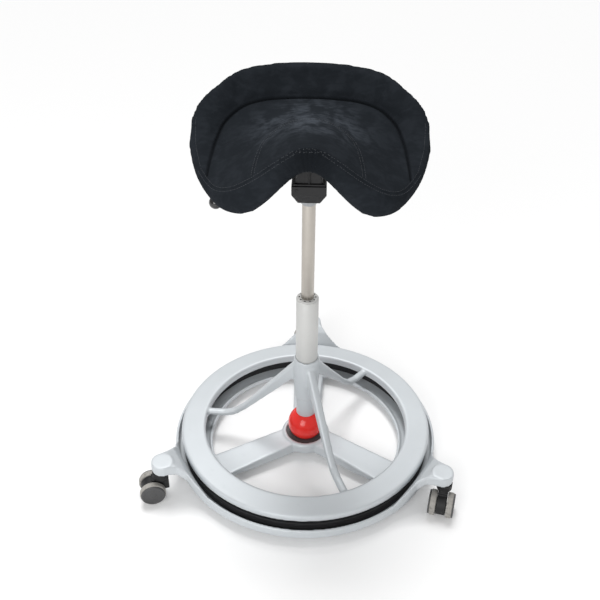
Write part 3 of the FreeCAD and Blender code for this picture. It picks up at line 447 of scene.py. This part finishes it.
def rod_nickel(colours):
    """Satin plating of the gas cylinder."""
    return ground_metal("rod_nickel", colours.rod_nickel, rough=0.28)


def ball_lacquer(colours):
    """Glossy red with faint flow marks and a few fine scuffs."""
    red = Finish("ball_red")
    flow = red.noise(scale=40, detail=3, wander=0.6)
    scuff = red.between(red.noise(scale=260, detail=5, stretch=(1, 1, 4)), low=0.60, high=0.72)
    return red.surface({
        "Base Color": red.blend(flow, tone(colours.ball_red, 0.90), tone(colours.ball_red, 1.08)),
        "Roughness": 0.14 + flow * 0.05 + scuff * 0.10,
        "Specular IOR Level": 0.35,
        "Normal": red.bump(flow, distance=0.00015, strength=0.4),
        "Coat Weight": 0.25,
        "Coat Roughness": 0.06,
    })


def moulded(name, colour, rough, grain_depth, coat=0.0, hollow=None):
    """Moulded plastic with a fine grain, a slow drift of gloss, a little dust and painted shade in hollows."""
    plastic = Finish(name)
    grain = plastic.noise(scale=1900, detail=2)
    drift = plastic.noise(scale=45, detail=3)
    dust = plastic.between(plastic.noise(scale=220, detail=5), low=0.58, high=0.80)
    face = plastic.blend(drift * 0.5 + dust * 0.25, tone(colour, 0.88), tone(colour, 1.35))
    return plastic.surface({
        # Painted shade: hollows are painted nearly black
        "Base Color": plastic.blend(hollow(plastic), face, tone(colour, 0.02)) if hollow else face,
        "Roughness": rough + drift * 0.10 + dust * 0.10,
        "Normal": plastic.bump(grain, grain_depth, 0.6),
        "Coat Weight": coat,
        "Coat Roughness": 0.12,
    })


def black_moulding(colours):
    """Black mouldings with a satin grain."""
    return moulded("black_plastic", colours.black, rough=0.50, grain_depth=0.00010)


def black_gloss(colours):
    """Glossy black of the lever's knob."""
    return moulded("black_gloss", colours.black, rough=0.16, grain_depth=0.00003, coat=0.6)


def bush_plastic(colours):
    """Grey bearing plastic."""
    return moulded("bush_grey", colours.bush_grey, rough=0.40, grain_depth=0.00006)


def slot_shade(plastic):
    """Painted shade of the guide bush's slots: 1 below its top face and inside its edge, and 0 elsewhere."""
    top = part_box("guide_bush")[1]
    across, along, height = plastic.axes()
    radius = plastic.math("SQRT", across ** 2 + along ** 2)
    below = plastic.between(top.z - height, *SLOT_SHADE_DEPTHS)
    return below * (1 - plastic.between(radius, *(top.x - edge for edge in SLOT_SHADE_EDGES)))


def slotted_bush(colours):
    """The guide bush, silver like its tube, with painted shade in its slots."""
    return moulded("bush_slotted", colours.tube_silver, rough=0.36, grain_depth=0.00006, hollow=slot_shade)


def wheel_moulding(colours):
    """Dark grey castor wheels."""
    return moulded("wheel_grey", colours.wheel_grey, rough=0.46, grain_depth=0.00014)


def ring_rubber(colours):
    """Matt rubber with a fine grain and a bloom of dust."""
    rubber = Finish("rubber_black")
    grain = rubber.noise(scale=1300, detail=2)
    bloom = rubber.between(rubber.noise(scale=75, detail=5, stretch=(1, 1, 2)), low=0.45, high=0.75)
    return rubber.surface({
        "Base Color": rubber.blend(bloom * 0.5, tone(colours.rubber, 0.85), tone(colours.rubber, 2.2)),
        "Roughness": 0.58 + bloom * 0.16 + grain * 0.06,
        "Normal": rubber.bump(grain, distance=0.00012, strength=0.7),
    })


def tread_rubber(colours):
    """Soft grey tread, scuffed and a little dirty where it rolls."""
    rubber = Finish("tread_grey")
    grain = rubber.noise(scale=1500, detail=2)
    dirt = rubber.between(rubber.noise(scale=150, detail=5), low=0.42, high=0.72)
    clean, soiled = tone(colours.tread_grey, 1.05), tone(colours.tread_grey, 0.55)
    return rubber.surface({
        "Base Color": rubber.blend(dirt * 0.65, clean, soiled),
        "Roughness": 0.52 + dirt * 0.16,
        "Normal": rubber.bump(grain, distance=0.00010, strength=0.6),
    })


def suede(colours):
    """Dark suede: a fine nap, brushed in patches that catch the light, most of all on the seat, which is painted
    lighter for wear and as painted light; its seams and gathers get painted shade.
    """
    hide = Finish("suede")
    across, along, _ = hide.axes()
    # Painted shade of the seams and gathers, noted on the cover
    seam = hide.node("ShaderNodeAttribute", {"attribute_name": "shade"}, output="Fac")
    fibre = hide.noise(scale=2400, detail=2)
    nap = hide.noise(scale=700, detail=3)
    patch = hide.noise(scale=31, detail=6, stretch=(1.0, 0.7, 1.0), wander=0.7)
    stroke = hide.noise(scale=95, detail=5, stretch=(0.5, 1.6, 1.0), wander=0.6)
    reach = hide.math("SQRT", (across / WORN_LIT_WIDE) ** 2 + ((along - WORN_LIT_MIDDLE) / WORN_LIT_LONG) ** 2)
    # Wear and painted light: the middle of the seat lighter than the band round it
    worn_and_lit = 1 - hide.between(reach, low=0.20, high=1.15)
    brushed = hide.between(patch * 0.6 + stroke * 0.4, low=0.41, high=0.64)
    share = brushed * (0.12 + worn_and_lit * 0.78) + worn_and_lit * 0.12 + nap * 0.05
    # Painted shade of the seams and gathers dims the nap and darkens the colour
    cover = hide.blend(share * (1 - seam * 0.8), tone(colours.suede), tone(colours.nap))
    return hide.surface({
        "Base Color": hide.blend(seam * 0.75 + fibre * 0.2, cover, tone(colours.suede, 0.3)),
        "Roughness": 0.86 + nap * 0.10,
        "Specular IOR Level": 0.04,
        "Sheen Weight": 0.010,
        "Sheen Roughness": 0.42,
        "Sheen Tint": tone((0.55, 0.62, 0.72)),
        "Normal": hide.bump(nap * 0.7 + fibre * 0.3 + brushed * 0.25, distance=0.0005, strength=0.35),
    })


def thread(colours):
    """Twisted sewing thread."""
    yarn = Finish("thread")
    twist = yarn.noise(scale=3800, detail=1)
    return yarn.surface({
        "Base Color": yarn.blend(twist, tone(colours.thread, 0.75), tone(colours.thread, 1.25)),
        "Roughness": 0.60 + twist * 0.15,
        "Normal": yarn.bump(twist, distance=0.00010, strength=0.5),
    })


FINISH_MAKERS = {
    "cast_silver": cast_paint,
    "tube_silver": tube_paint,
    "steel": drawn_steel,
    "rod_nickel": rod_nickel,
    "ball_red": ball_lacquer,
    "black_plastic": black_moulding,
    "black_gloss": black_gloss,
    "bush_grey": bush_plastic,
    "bush_slotted": slotted_bush,
    "rubber_black": ring_rubber,
    "wheel_grey": wheel_moulding,
    "tread_grey": tread_rubber,
    "suede": suede,
    "thread": thread,
}


def finish(name):
    """The named material, made the first time it is asked for."""
    made = bpy.data.materials.get(FINISH_NAME % name)
    return made or FINISH_MAKERS[name](bpy.context.scene.stool_colours)


def link(name, data):
    """Put new data in the scene as an object."""
    piece = bpy.data.objects.new(name, data)
    bpy.context.scene.collection.objects.link(piece)
    return piece


def add_piece(name, mesh, body, slot, material=None, stands_for=()):
    """Put a finished mesh on its body, with its finish and the nodes that it stands for."""
    mesh.materials.clear()
    mesh.materials.append(finish(material or slot))
    piece = link(name, mesh)
    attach(piece, body)
    if stands_for:
        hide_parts(*stands_for)
    return piece


def dress(node, mesh, material=None):
    """Stand a better mesh in the place of a CAD node."""
    return add_piece(node + "_form", mesh, BODY_OF[node], SLOT_OF[node], material, [node])


def paint(*nodes, material=None):
    """Give CAD nodes that keep their own shape their finish, or another one."""
    for node in nodes:
        mesh = frame["nodes"][node].data
        mesh.materials.clear()
        mesh.materials.append(finish(material or SLOT_OF[node]))


def to_mesh(name, shape):
    """Close a bmesh into a mesh, shaded smooth but for its sharp edges."""
    mesh = bpy.data.meshes.new(name)
    shape.to_mesh(mesh)
    shape.free()
    for layer in list(mesh.attributes):
        if layer.name == "custom_normal":
            mesh.attributes.remove(layer)
    mesh.shade_smooth()
    mesh.set_sharp_from_angle(angle=SHARP)
    return mesh


def merged(node):
    """A node's surface with its loose triangles joined."""
    shape = bmesh.new()
    shape.from_mesh(frame["nodes"][node].data)
    bmesh.ops.remove_doubles(shape, verts=shape.verts, dist=MERGE)
    return shape


def settled(piece):
    """The mesh of a work object with its modifiers applied; the object is removed."""
    graph = bpy.context.evaluated_depsgraph_get()
    mesh = bpy.data.meshes.new_from_object(piece.evaluated_get(graph))
    mesh.name = piece.name
    old = piece.data
    bpy.data.objects.remove(piece)
    bpy.data.meshes.remove(old)
    return mesh


def ease(work, rounds):
    """Smooth a work object."""
    smooth = work.modifiers.new("ease", "SMOOTH")
    smooth.factor = 0.5
    smooth.iterations = rounds


def evened(node, spacing, rounds):
    """A work object with a node's surface in an even mesh, smoothed."""
    work = link(node + "_work", to_mesh(node + "_work", merged(node)))
    even = work.modifiers.new("even", "REMESH")
    even.mode = "VOXEL"
    even.voxel_size = spacing
    ease(work, rounds)
    return work


def softened(node, spacing, rounds):
    """A node's surface as a casting or moulding has it, with its edges eased."""
    mesh = settled(evened(node, spacing, rounds))
    mesh.shade_smooth()
    return mesh


def round_edges(shape, rounding, segments=2):
    """Round the sharp edges of a bmesh."""
    sharp = [edge for edge in shape.edges if edge.is_manifold and edge.calc_face_angle() > SHARP]
    bmesh.ops.bevel(shape, geom=sharp, offset=rounding, offset_type="OFFSET", affect="EDGES",
                    segments=segments, profile=0.5, material=-1, clamp_overlap=True)


def machined(node, rounding):
    """A node's own shape with its sharp edges rounded."""
    shape = merged(node)
    bmesh.ops.dissolve_limit(shape, angle_limit=FLAT, verts=shape.verts, edges=shape.edges)
    round_edges(shape, rounding)
    return to_mesh(node, shape)


def turned(name, outline, rounding, steps, stand=None):
    """A lathe shape from (radius, height) corners about Z, rounded and stood in its place."""
    shape = bmesh.new()
    corners = [shape.verts.new((radius, 0, height)) for radius, height in outline]
    edges = []
    for start, end in zip(corners, corners[1:] + corners[:1]):
        if start.co.x > MERGE or end.co.x > MERGE:
            edges.append(shape.edges.new((start, end)))
    bmesh.ops.spin(shape, geom=corners + edges, cent=(0, 0, 0), axis=(0, 0, 1), angle=math.tau,
                   steps=steps, use_merge=True)
    bmesh.ops.remove_doubles(shape, verts=shape.verts, dist=MERGE)
    bmesh.ops.recalc_face_normals(shape, faces=shape.faces)
    if rounding:
        round_edges(shape, rounding, segments=3)
    if stand:
        bmesh.ops.transform(shape, matrix=stand, verts=shape.verts)
    return to_mesh(name, shape)


def arc(radius, centre, start, end, count):
    """Corners of (radius, height) round part of a ball, from one latitude to another."""
    turn = (end - start) / count
    return [(max(radius * math.cos(start + turn * i), 0), centre + radius * math.sin(start + turn * i))
            for i in range(count + 1)]


class STOOL_OT_base(bpy.types.Operator):
    """Cast base with its ball cup, liner and rubber ring"""

    bl_idname = "stool.base"
    bl_label = "Base"

    def execute(self, context):
        sizes = context.scene.stool_sizes
        dress("base_casting", softened("base_casting", sizes.casting_mesh, sizes.casting_ease))
        dress("socket_liner", machined("socket_liner", sizes.edge_round), "wheel_grey")
        low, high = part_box("bumper_ring")
        points = frame["nodes"]["bumper_ring"].data.vertices
        inner = min(math.hypot(point.co.x, point.co.y) for point in points)
        groove = sizes.edge_round * 2
        middle = (low.z + high.z) / 2
        outline = [
            (inner, low.z), (high.x, low.z), (high.x, middle - groove), (high.x - groove, middle),
            (high.x, middle + groove), (high.x, high.z), (inner, high.z),
        ]
        dress("bumper_ring", turned("bumper_ring", outline, groove, steps=160))
        return {"FINISHED"}


class STOOL_OT_castors(bpy.types.Operator):
    """Three twin-wheel castors"""

    bl_idname = "stool.castors"
    bl_label = "Castors"

    def execute(self, context):
        sizes = context.scene.stool_sizes
        outlines = {"wheel": self.wheel_outline(sizes), "tread": self.tread_outline(sizes)}
        for castor in CASTORS:
            dress(castor + "_body", softened(castor + "_body", sizes.moulding_mesh, sizes.moulding_ease))
            paint(castor + "_stem", castor + "_axle")
            for side in SIDES:
                stand = self.stand(castor, side)
                for kind, outline in outlines.items():
                    node = "%s_%s_%s" % (castor, kind, side)
                    dress(node, turned(node, outline, sizes.edge_round / 2, steps=64, stand=stand))
        return {"FINISHED"}

    @staticmethod
    def stand(castor, side):
        """The place of a wheel's axle line, with Z pointing out of the castor."""
        joint = JOINTS["%s_%s_spin" % (castor, side)]
        spot = Vector(joint["pos_m"])
        low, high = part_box("%s_wheel_%s" % (castor, side))
        out = Vector(joint["axis"])
        if out.dot((low + high) / 2 - spot) < 0:
            out = -out
        return Matrix.Translation(spot) @ out.to_track_quat("Z", "Y").to_matrix().to_4x4()

    @staticmethod
    def wheel_outline(sizes):
        """A dished disc with a raised flange and a hub cap, hollow behind."""
        rim, inner, outer = sizes.wheel_rim, sizes.wheel_inner, sizes.wheel_outer
        flange = rim * FLANGE
        beside = inner + sizes.tread_width
        step = sizes.edge_round
        cap, dish, web = outer - step / 2, outer - 1.5 * step, outer - 5 * step
        return [
            (0, cap), (rim * CAP_EDGE, cap), (rim * DISH_FOOT, dish), (rim * DISH_TOP, dish),
            (rim * FLANGE_FOOT, outer), (flange - 2 * step, outer), (flange, outer - 2 * step),
            (flange, beside), (rim, beside), (rim, inner), (rim * WELL, inner), (rim * WELL, web),
            (rim * BOSS, web), (rim * BOSS, inner), (rim * AXLE_BORE, inner), (rim * AXLE_BORE, web),
            (0, web),
        ]

    @staticmethod
    def tread_outline(sizes):
        """A tread with rounded shoulders and two shallow grooves."""
        rim, low = sizes.wheel_rim, sizes.wheel_inner
        high = low + sizes.tread_width
        roll = rim * ROLL
        cut = sizes.edge_round / 2
        outline = [(rim, low), (roll - 3 * cut, low), (roll, low + 4 * cut)]
        for share in TREAD_GROOVES:
            spot = low + sizes.tread_width * share
            outline += [(roll, spot - cut), (roll - cut, spot), (roll, spot + cut)]
        return outline + [(roll, high - 4 * cut), (roll - 3 * cut, high), (rim, high)]


class STOOL_OT_foot_ring(bpy.types.Operator):
    """Foot ring with its spokes and collar, and the ball that it turns and tilts on"""

    bl_idname = "stool.foot_ring"
    bl_label = "Foot ring and ball"

    def execute(self, context):
        sizes = context.scene.stool_sizes
        dress("foot_ring", softened("foot_ring", sizes.casting_mesh, sizes.casting_ease // 2))
        low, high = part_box("red_ball")
        radius = high.x
        centre = low.z + radius
        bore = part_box("ball_stem")[1].x * BORE_SHARE
        outline = arc(radius, centre, -math.pi / 2, math.acos(bore / radius), count=40)
        outline += [(bore, centre), (0, centre)]
        dress("red_ball", turned("red_ball", outline, 0, steps=96))
        dress("stem_sleeve", machined("stem_sleeve", sizes.edge_round), "cast_silver")
        paint("ball_stem")
        return {"FINISHED"}


class STOOL_OT_column(bpy.types.Operator):
    """Column tube, guide bush and gas lift"""

    bl_idname = "stool.column"
    bl_label = "Column and gas lift"

    def execute(self, context):
        sizes = context.scene.stool_sizes
        dress("column_tube", machined("column_tube", sizes.edge_round))
        dress("guide_bush", machined("guide_bush", sizes.edge_round / 3), "bush_slotted")
        dress("gas_cylinder", machined("gas_cylinder", sizes.edge_round / 2), "rod_nickel")
        paint("bottom_plate", "thrust_bearing", "bump_stop", "retaining_clip", "piston_rod", "piston",
              "rod_seal", "release_pin")
        return {"FINISHED"}


class STOOL_OT_mechanism(bpy.types.Operator):
    """Housing, taper cone, bracket and seat shell"""

    bl_idname = "stool.mechanism"
    bl_label = "Seat mechanism"

    def execute(self, context):
        sizes = context.scene.stool_sizes
        for node in ("mechanism_housing", "seat_bracket"):
            dress(node, softened(node, sizes.moulding_mesh, sizes.moulding_ease))
        dress("taper_cone", machined("taper_cone", sizes.edge_round / 2))
        dress("seat_pan", softened("seat_pan", sizes.pan_mesh, sizes.moulding_ease))
        paint("seat_screws")
        paint("lever_pivot_pin", material="black_plastic")
        return {"FINISHED"}


class STOOL_OT_lever(bpy.types.Operator):
    """Height lever and its knob"""

    bl_idname = "stool.lever"
    bl_label = "Height lever"

    def execute(self, context):
        sizes = context.scene.stool_sizes
        dress("lever_rod", softened("lever_rod", sizes.moulding_mesh, ROD_EASE))
        low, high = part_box("lever_knob")
        radius = (high.y - low.y) / 2
        outline = arc(radius, 0, -math.pi / 2, math.pi / 2, count=32)
        spot = Matrix.Translation((low + high) / 2)
        dress("lever_knob", turned("lever_knob", outline, 0, steps=64, stand=spot))
        return {"FINISHED"}


def curve_through(points, spacing):
    """Points a set distance apart along a smooth line through the given ones."""
    ends = [points[0] * 2 - points[1]] + list(points) + [points[-1] * 2 - points[-2]]
    fine = []
    for before, start, end, after in zip(ends, ends[1:], ends[2:], ends[3:]):
        count = max(int((end - start).length / spacing), 2)
        for i in range(count):
            t = i / count
            fine.append(0.5 * (2 * start + (end - before) * t
                               + (2 * before - 5 * start + 4 * end - after) * t ** 2
                               + (3 * start - before - 3 * end + after) * t ** 3))
    return fine + [points[-1]]


def seam_line(name, surface, spacing):
    """A seam's points and normals on the cover, from its left-hand end to its right-hand end."""
    top = Vector((0, 0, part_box("seat_bracket")[1].z))
    half = [Vector(point) + top for point in SEAM_ROUTES[name]]
    mirrored = [Vector((-point.x, point.y, point.z)) for point in reversed(half[1:])]
    line = []
    for point in curve_through(mirrored + half, spacing):
        spot, normal, _, _ = surface.find_nearest(point)
        line.append((spot, normal))
    return line


def surface_of(mesh):
    """A finder of the nearest point on a mesh."""
    shape = bmesh.new()
    shape.from_mesh(mesh)
    tree = BVHTree.FromBMesh(shape)
    shape.free()
    return tree


def nearness(points):
    """A finder of the nearest of many points."""
    tree = KDTree(len(points))
    for i, point in enumerate(points):
        tree.insert(point, i)
    tree.balance()
    return tree


class STOOL_OT_cushion(bpy.types.Operator):
    """Padded saddle: a cover blown up over its foam, drawn in at its seams and stitched"""

    bl_idname = "stool.cushion"
    bl_label = "Cushion"

    def execute(self, context):
        sizes = context.scene.stool_sizes
        mesh = self.cover(sizes)
        mesh = self.swollen(mesh, sizes)
        mesh = self.sewn(self.divided(mesh), sizes)
        cushion = add_piece("saddle_cushion", mesh, "seat", "suede", None, ["seat_cushion"])
        add_piece("saddle_stitching", self.stitching(mesh, sizes), "seat", "suede", "thread")
        return {"FINISHED"}

    @staticmethod
    def cover(sizes):
        """The foam's surface, evenly meshed, smoothed and set out to make up for the smoothing."""
        work = evened("seat_cushion", sizes.cushion_mesh, COVER_EASE)
        lift = work.modifiers.new("lift", "DISPLACE")
        lift.mid_level = 0
        lift.strength = sizes.cover_lift
        return settled(work)

    @staticmethod
    def swollen(mesh, sizes):
        """Blow the cover up as cloth, held by its shell underneath and by its seams."""
        work = link("cover", mesh)
        start = [vertex.co.copy() for vertex in mesh.vertices]
        surface = surface_of(mesh)
        lines = [seam_line(name, surface, HOLD_SPACING) for name in HOLDING_SEAMS]
        sewn = nearness([spot for line in lines for spot, _ in line])
        held = work.vertex_groups.new(name="held")
        for vertex in mesh.vertices:
            below = min(max((-vertex.normal.z - HELD_FROM) / HELD_OVER, 0), 1)
            at_seam = max(1 - sewn.find(vertex.co)[2] / (2 * sizes.cushion_mesh), 0)
            held.add([vertex.index], max(below, HELD_AT_SEAM * at_seam), "REPLACE")
        cloth = work.modifiers.new("swell", "CLOTH")
        cloth.settings.use_pressure = True
        cloth.settings.uniform_pressure_force = sizes.cushion_pressure
        cloth.settings.effector_weights.gravity = 0
        cloth.settings.vertex_group_mass = held.name
        scene = bpy.context.scene
        for step in range(1, CLOTH_STEPS + 1):
            scene.frame_set(step)
        graph = bpy.context.evaluated_depsgraph_get()
        blown = work.evaluated_get(graph).to_mesh()
        for vertex, origin, moved in zip(mesh.vertices, start, blown.vertices):
            move = moved.co - origin
            if move.length > sizes.cushion_swell:
                move.length = sizes.cushion_swell
            vertex.co = origin + move
        work.modifiers.clear()
        work.vertex_groups.clear()
        scene.frame_set(1)
        return settled(work)

    @staticmethod
    def divided(mesh):
        """Smooth the cover again and divide its mesh."""
        work = link("cover", mesh)
        ease(work, SWOLLEN_EASE)
        finer = work.modifiers.new("finer", "SUBSURF")
        finer.levels = 1
        finer.render_levels = 1
        return settled(work)

    @staticmethod
    def sewn(mesh, sizes):
        """Draw the cover in along its seams, gather it under the pommel and note painted shade in the seams and
        gathers.
        """
        surface = surface_of(mesh)
        depths = {"crease": sizes.crease_depth, "front": sizes.seam_depth,
                  "horseshoe": sizes.seam_depth * HORSESHOE_SHARE}
        finders = [(nearness([spot for spot, _ in seam_line(name, surface, SINK_SPACING)]), depth)
                   for name, depth in depths.items()]
        pommel = Vector((0, GATHER_Y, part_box("seat_bracket")[1].z + GATHER_RISE))
        moves = []
        shade = mesh.attributes.new("shade", "FLOAT", "POINT")
        for vertex in mesh.vertices:
            sink = 0
            for finder, depth in finders:
                away = finder.find(vertex.co)[2]
                sink += depth * math.exp(-(away / sizes.seam_width) ** 2)
            dusk = 0
            across, _, up = vertex.co - pommel
            forward = vertex.normal.y < GATHER_FACING and vertex.co.y < GATHER_BACK
            if forward and abs(across) < GATHER_HALF:
                angle = math.atan2(across, up)
                fade = max(1 - (across / GATHER_HALF) ** 2, 0) ** 2
                dusk = GATHER_SHADE * fade
                wave = math.cos(GATHER_WAVES * angle + GATHER_SWAY * math.sin(GATHER_SWAYS * angle))
                sink += sizes.gather_depth * fade * (0.5 + 0.5 * wave)
            # Painted shade: darker where the seams sink deep and in the gathers under the pommel
            shade.data[vertex.index].value = max(min(sink / sizes.crease_depth, 1) ** SHADE_POWER, dusk)
            moves.append(vertex.normal * -sink)
        for vertex, move in zip(mesh.vertices, moves):
            vertex.co += move
        mesh.shade_smooth()
        return mesh

    def stitching(self, mesh, sizes):
        """Two rows of stitches along the sewn seams and one along the front of the rim."""
        surface = surface_of(mesh)
        shape = bmesh.new()
        half = sizes.row_gap / 2
        rows = (("front", -half), ("front", half), ("horseshoe", -half), ("horseshoe", half))
        for name, offset in rows:
            self.row(shape, seam_line(name, surface, STITCH_SPACING), offset, surface, sizes)
        rim = [part for part in seam_line("rim", surface, STITCH_SPACING) if part[0].y < RIM_STITCHED_TO]
        for side in (-1, 1):
            self.row(shape, [part for part in rim if part[0].x * side > 0], -half, surface, sizes)
        return to_mesh("saddle_stitching", shape)

    @staticmethod
    def row(shape, line, offset, surface, sizes):
        """Lay stitches along a line on the cover, to one side of it."""
        scrap = bpy.data.meshes.new("stitch")
        travelled = 0
        due = sizes.stitch_pitch
        for (start, normal), (end, _) in zip(line, line[1:]):
            step = end - start
            travelled += step.length
            if travelled < due or step.length < MERGE:
                continue
            due += sizes.stitch_pitch
            along = step.normalized()
            side = normal.cross(along).normalized()
            spot, up, _, _ = surface.find_nearest(start + side * offset)
            across = up.cross(along).normalized()
            along = across.cross(up)
            turn = Matrix((along, across, up)).transposed().to_4x4()
            half, thick = sizes.stitch_length / 2, sizes.thread_radius
            place = Matrix.Translation(spot) @ turn @ Matrix.Diagonal((half, thick, thick, 1))
            stitch = bmesh.new()
            bmesh.ops.create_uvsphere(stitch, u_segments=STITCH_SIDES, v_segments=STITCH_RINGS, radius=1,
                                      matrix=place)
            stitch.to_mesh(scrap)
            stitch.free()
            shape.from_mesh(scrap)
        bpy.data.meshes.remove(scrap)


class STOOL_OT_stage(bpy.types.Operator):
    """Pale floor, soft light and the camera"""

    bl_idname = "stool.stage"
    bl_label = "Stage"

    def execute(self, context):
        studio = context.scene.stool_studio
        self.floor(studio)
        self.sky(studio)
        self.lamps(studio)
        self.camera(studio)
        context.scene.view_settings.view_transform = "Standard"
        return {"FINISHED"}

    @staticmethod
    def seen(look):
        """1 where a ray comes from the camera, and 0 otherwise."""
        return look.node("ShaderNodeLightPath", output="Is Camera Ray")

    def floor(self, studio):
        """A pale floor, lifted a little where the camera sees it."""
        shape = bmesh.new()
        bmesh.ops.create_grid(shape, x_segments=1, y_segments=1, size=studio.floor_size / 2)
        floor = link("studio_floor", to_mesh("studio_floor", shape))
        paper = Finish("studio_floor")
        matt = paper.node("ShaderNodeBsdfDiffuse", None, {"Color": FLOOR_COLOUR})
        lift = paper.node("ShaderNodeEmission", None, {"Strength": self.seen(paper) * studio.floor_lift})
        both = paper.node("ShaderNodeAddShader", None, {0: matt, 1: lift})
        paper.node("ShaderNodeOutputMaterial", None, {"Surface": both})
        floor.data.materials.append(paper.owner)

    def sky(self, studio):
        """Even light from all round, white where the camera sees it."""
        world = bpy.data.worlds.new("studio")
        sky = Finish("studio", world)
        level = studio.sky + self.seen(sky) * (1 - studio.sky)
        light = sky.node("ShaderNodeBackground", None, {"Color": (1, 1, 1, 1), "Strength": level})
        sky.node("ShaderNodeOutputWorld", None, {"Surface": light})
        bpy.context.scene.world = world

    @staticmethod
    def lamps(studio):
        """The broad overhead light and the soft panel."""
        sun = bpy.data.lights.new("overhead", "SUN")
        sun.energy = studio.sun
        sun.angle = studio.sun_spread
        link("overhead", sun).rotation_euler = studio.sun_turn
        panel = bpy.data.lights.new("panel", "AREA")
        panel.shape = "RECTANGLE"
        panel.size, panel.size_y = studio.panel_size
        panel.energy = studio.panel_power
        board = link("panel", panel)
        board.location = studio.panel_place
        towards = studio.panel_aim - studio.panel_place
        board.rotation_euler = towards.to_track_quat("-Z", "Y").to_euler()

    @staticmethod
    def camera(studio):
        """The camera, placed as the one that took the photograph."""
        lens = bpy.data.cameras.new("camera")
        lens.lens = studio.focal_length
        lens.sensor_width = SENSOR_WIDTH
        lens.shift_x = studio.camera_shift
        camera = link("camera", lens)
        camera.location = studio.camera_place
        level = Quaternion((1, 0, 0), math.pi / 2 - studio.camera_pitch)
        camera.rotation_mode = "QUATERNION"
        camera.rotation_quaternion = level @ Quaternion((0, 0, 1), studio.camera_roll)
        bpy.context.scene.camera = camera


class STOOL_PT_panel(bpy.types.Panel):
    """Lists the stool's pieces and their settings"""

    bl_idname = "STOOL_PT_panel"
    bl_label = "Saddle stool"
    bl_space_type = "VIEW_3D"
    bl_region_type = "UI"
    bl_category = "Stool"

    def draw(self, context):
        for operator in OPERATORS:
            self.layout.operator(operator.bl_idname)
        for name in GROUPS:
            group = getattr(context.scene, name)
            column = self.layout.column()
            for key in group.bl_rna.properties.keys():
                if key not in ("rna_type", "name"):
                    column.prop(group, key)


OPERATORS = (STOOL_OT_base, STOOL_OT_castors, STOOL_OT_foot_ring, STOOL_OT_column, STOOL_OT_mechanism,
             STOOL_OT_lever, STOOL_OT_cushion, STOOL_OT_stage)
GROUPS = {"stool_sizes": StoolSizes, "stool_colours": StoolColours, "stool_studio": StoolStudio}


def register():
    for name, group in GROUPS.items():
        bpy.utils.register_class(group)
        setattr(bpy.types.Scene, name, PointerProperty(type=group))
    for cls in OPERATORS + (STOOL_PT_panel,):
        bpy.utils.register_class(cls)


def unregister():
    for cls in reversed(OPERATORS + (STOOL_PT_panel,)):
        bpy.utils.unregister_class(cls)
    for name, group in GROUPS.items():
        delattr(bpy.types.Scene, name)
        bpy.utils.unregister_class(group)


def main():
    register()
    bpy.ops.stool.base()
    bpy.ops.stool.castors()
    bpy.ops.stool.foot_ring()
    bpy.ops.stool.column()
    bpy.ops.stool.mechanism()
    bpy.ops.stool.lever()
    bpy.ops.stool.cushion()
    bpy.ops.stool.stage()


if __name__ == "__main__":
    main()
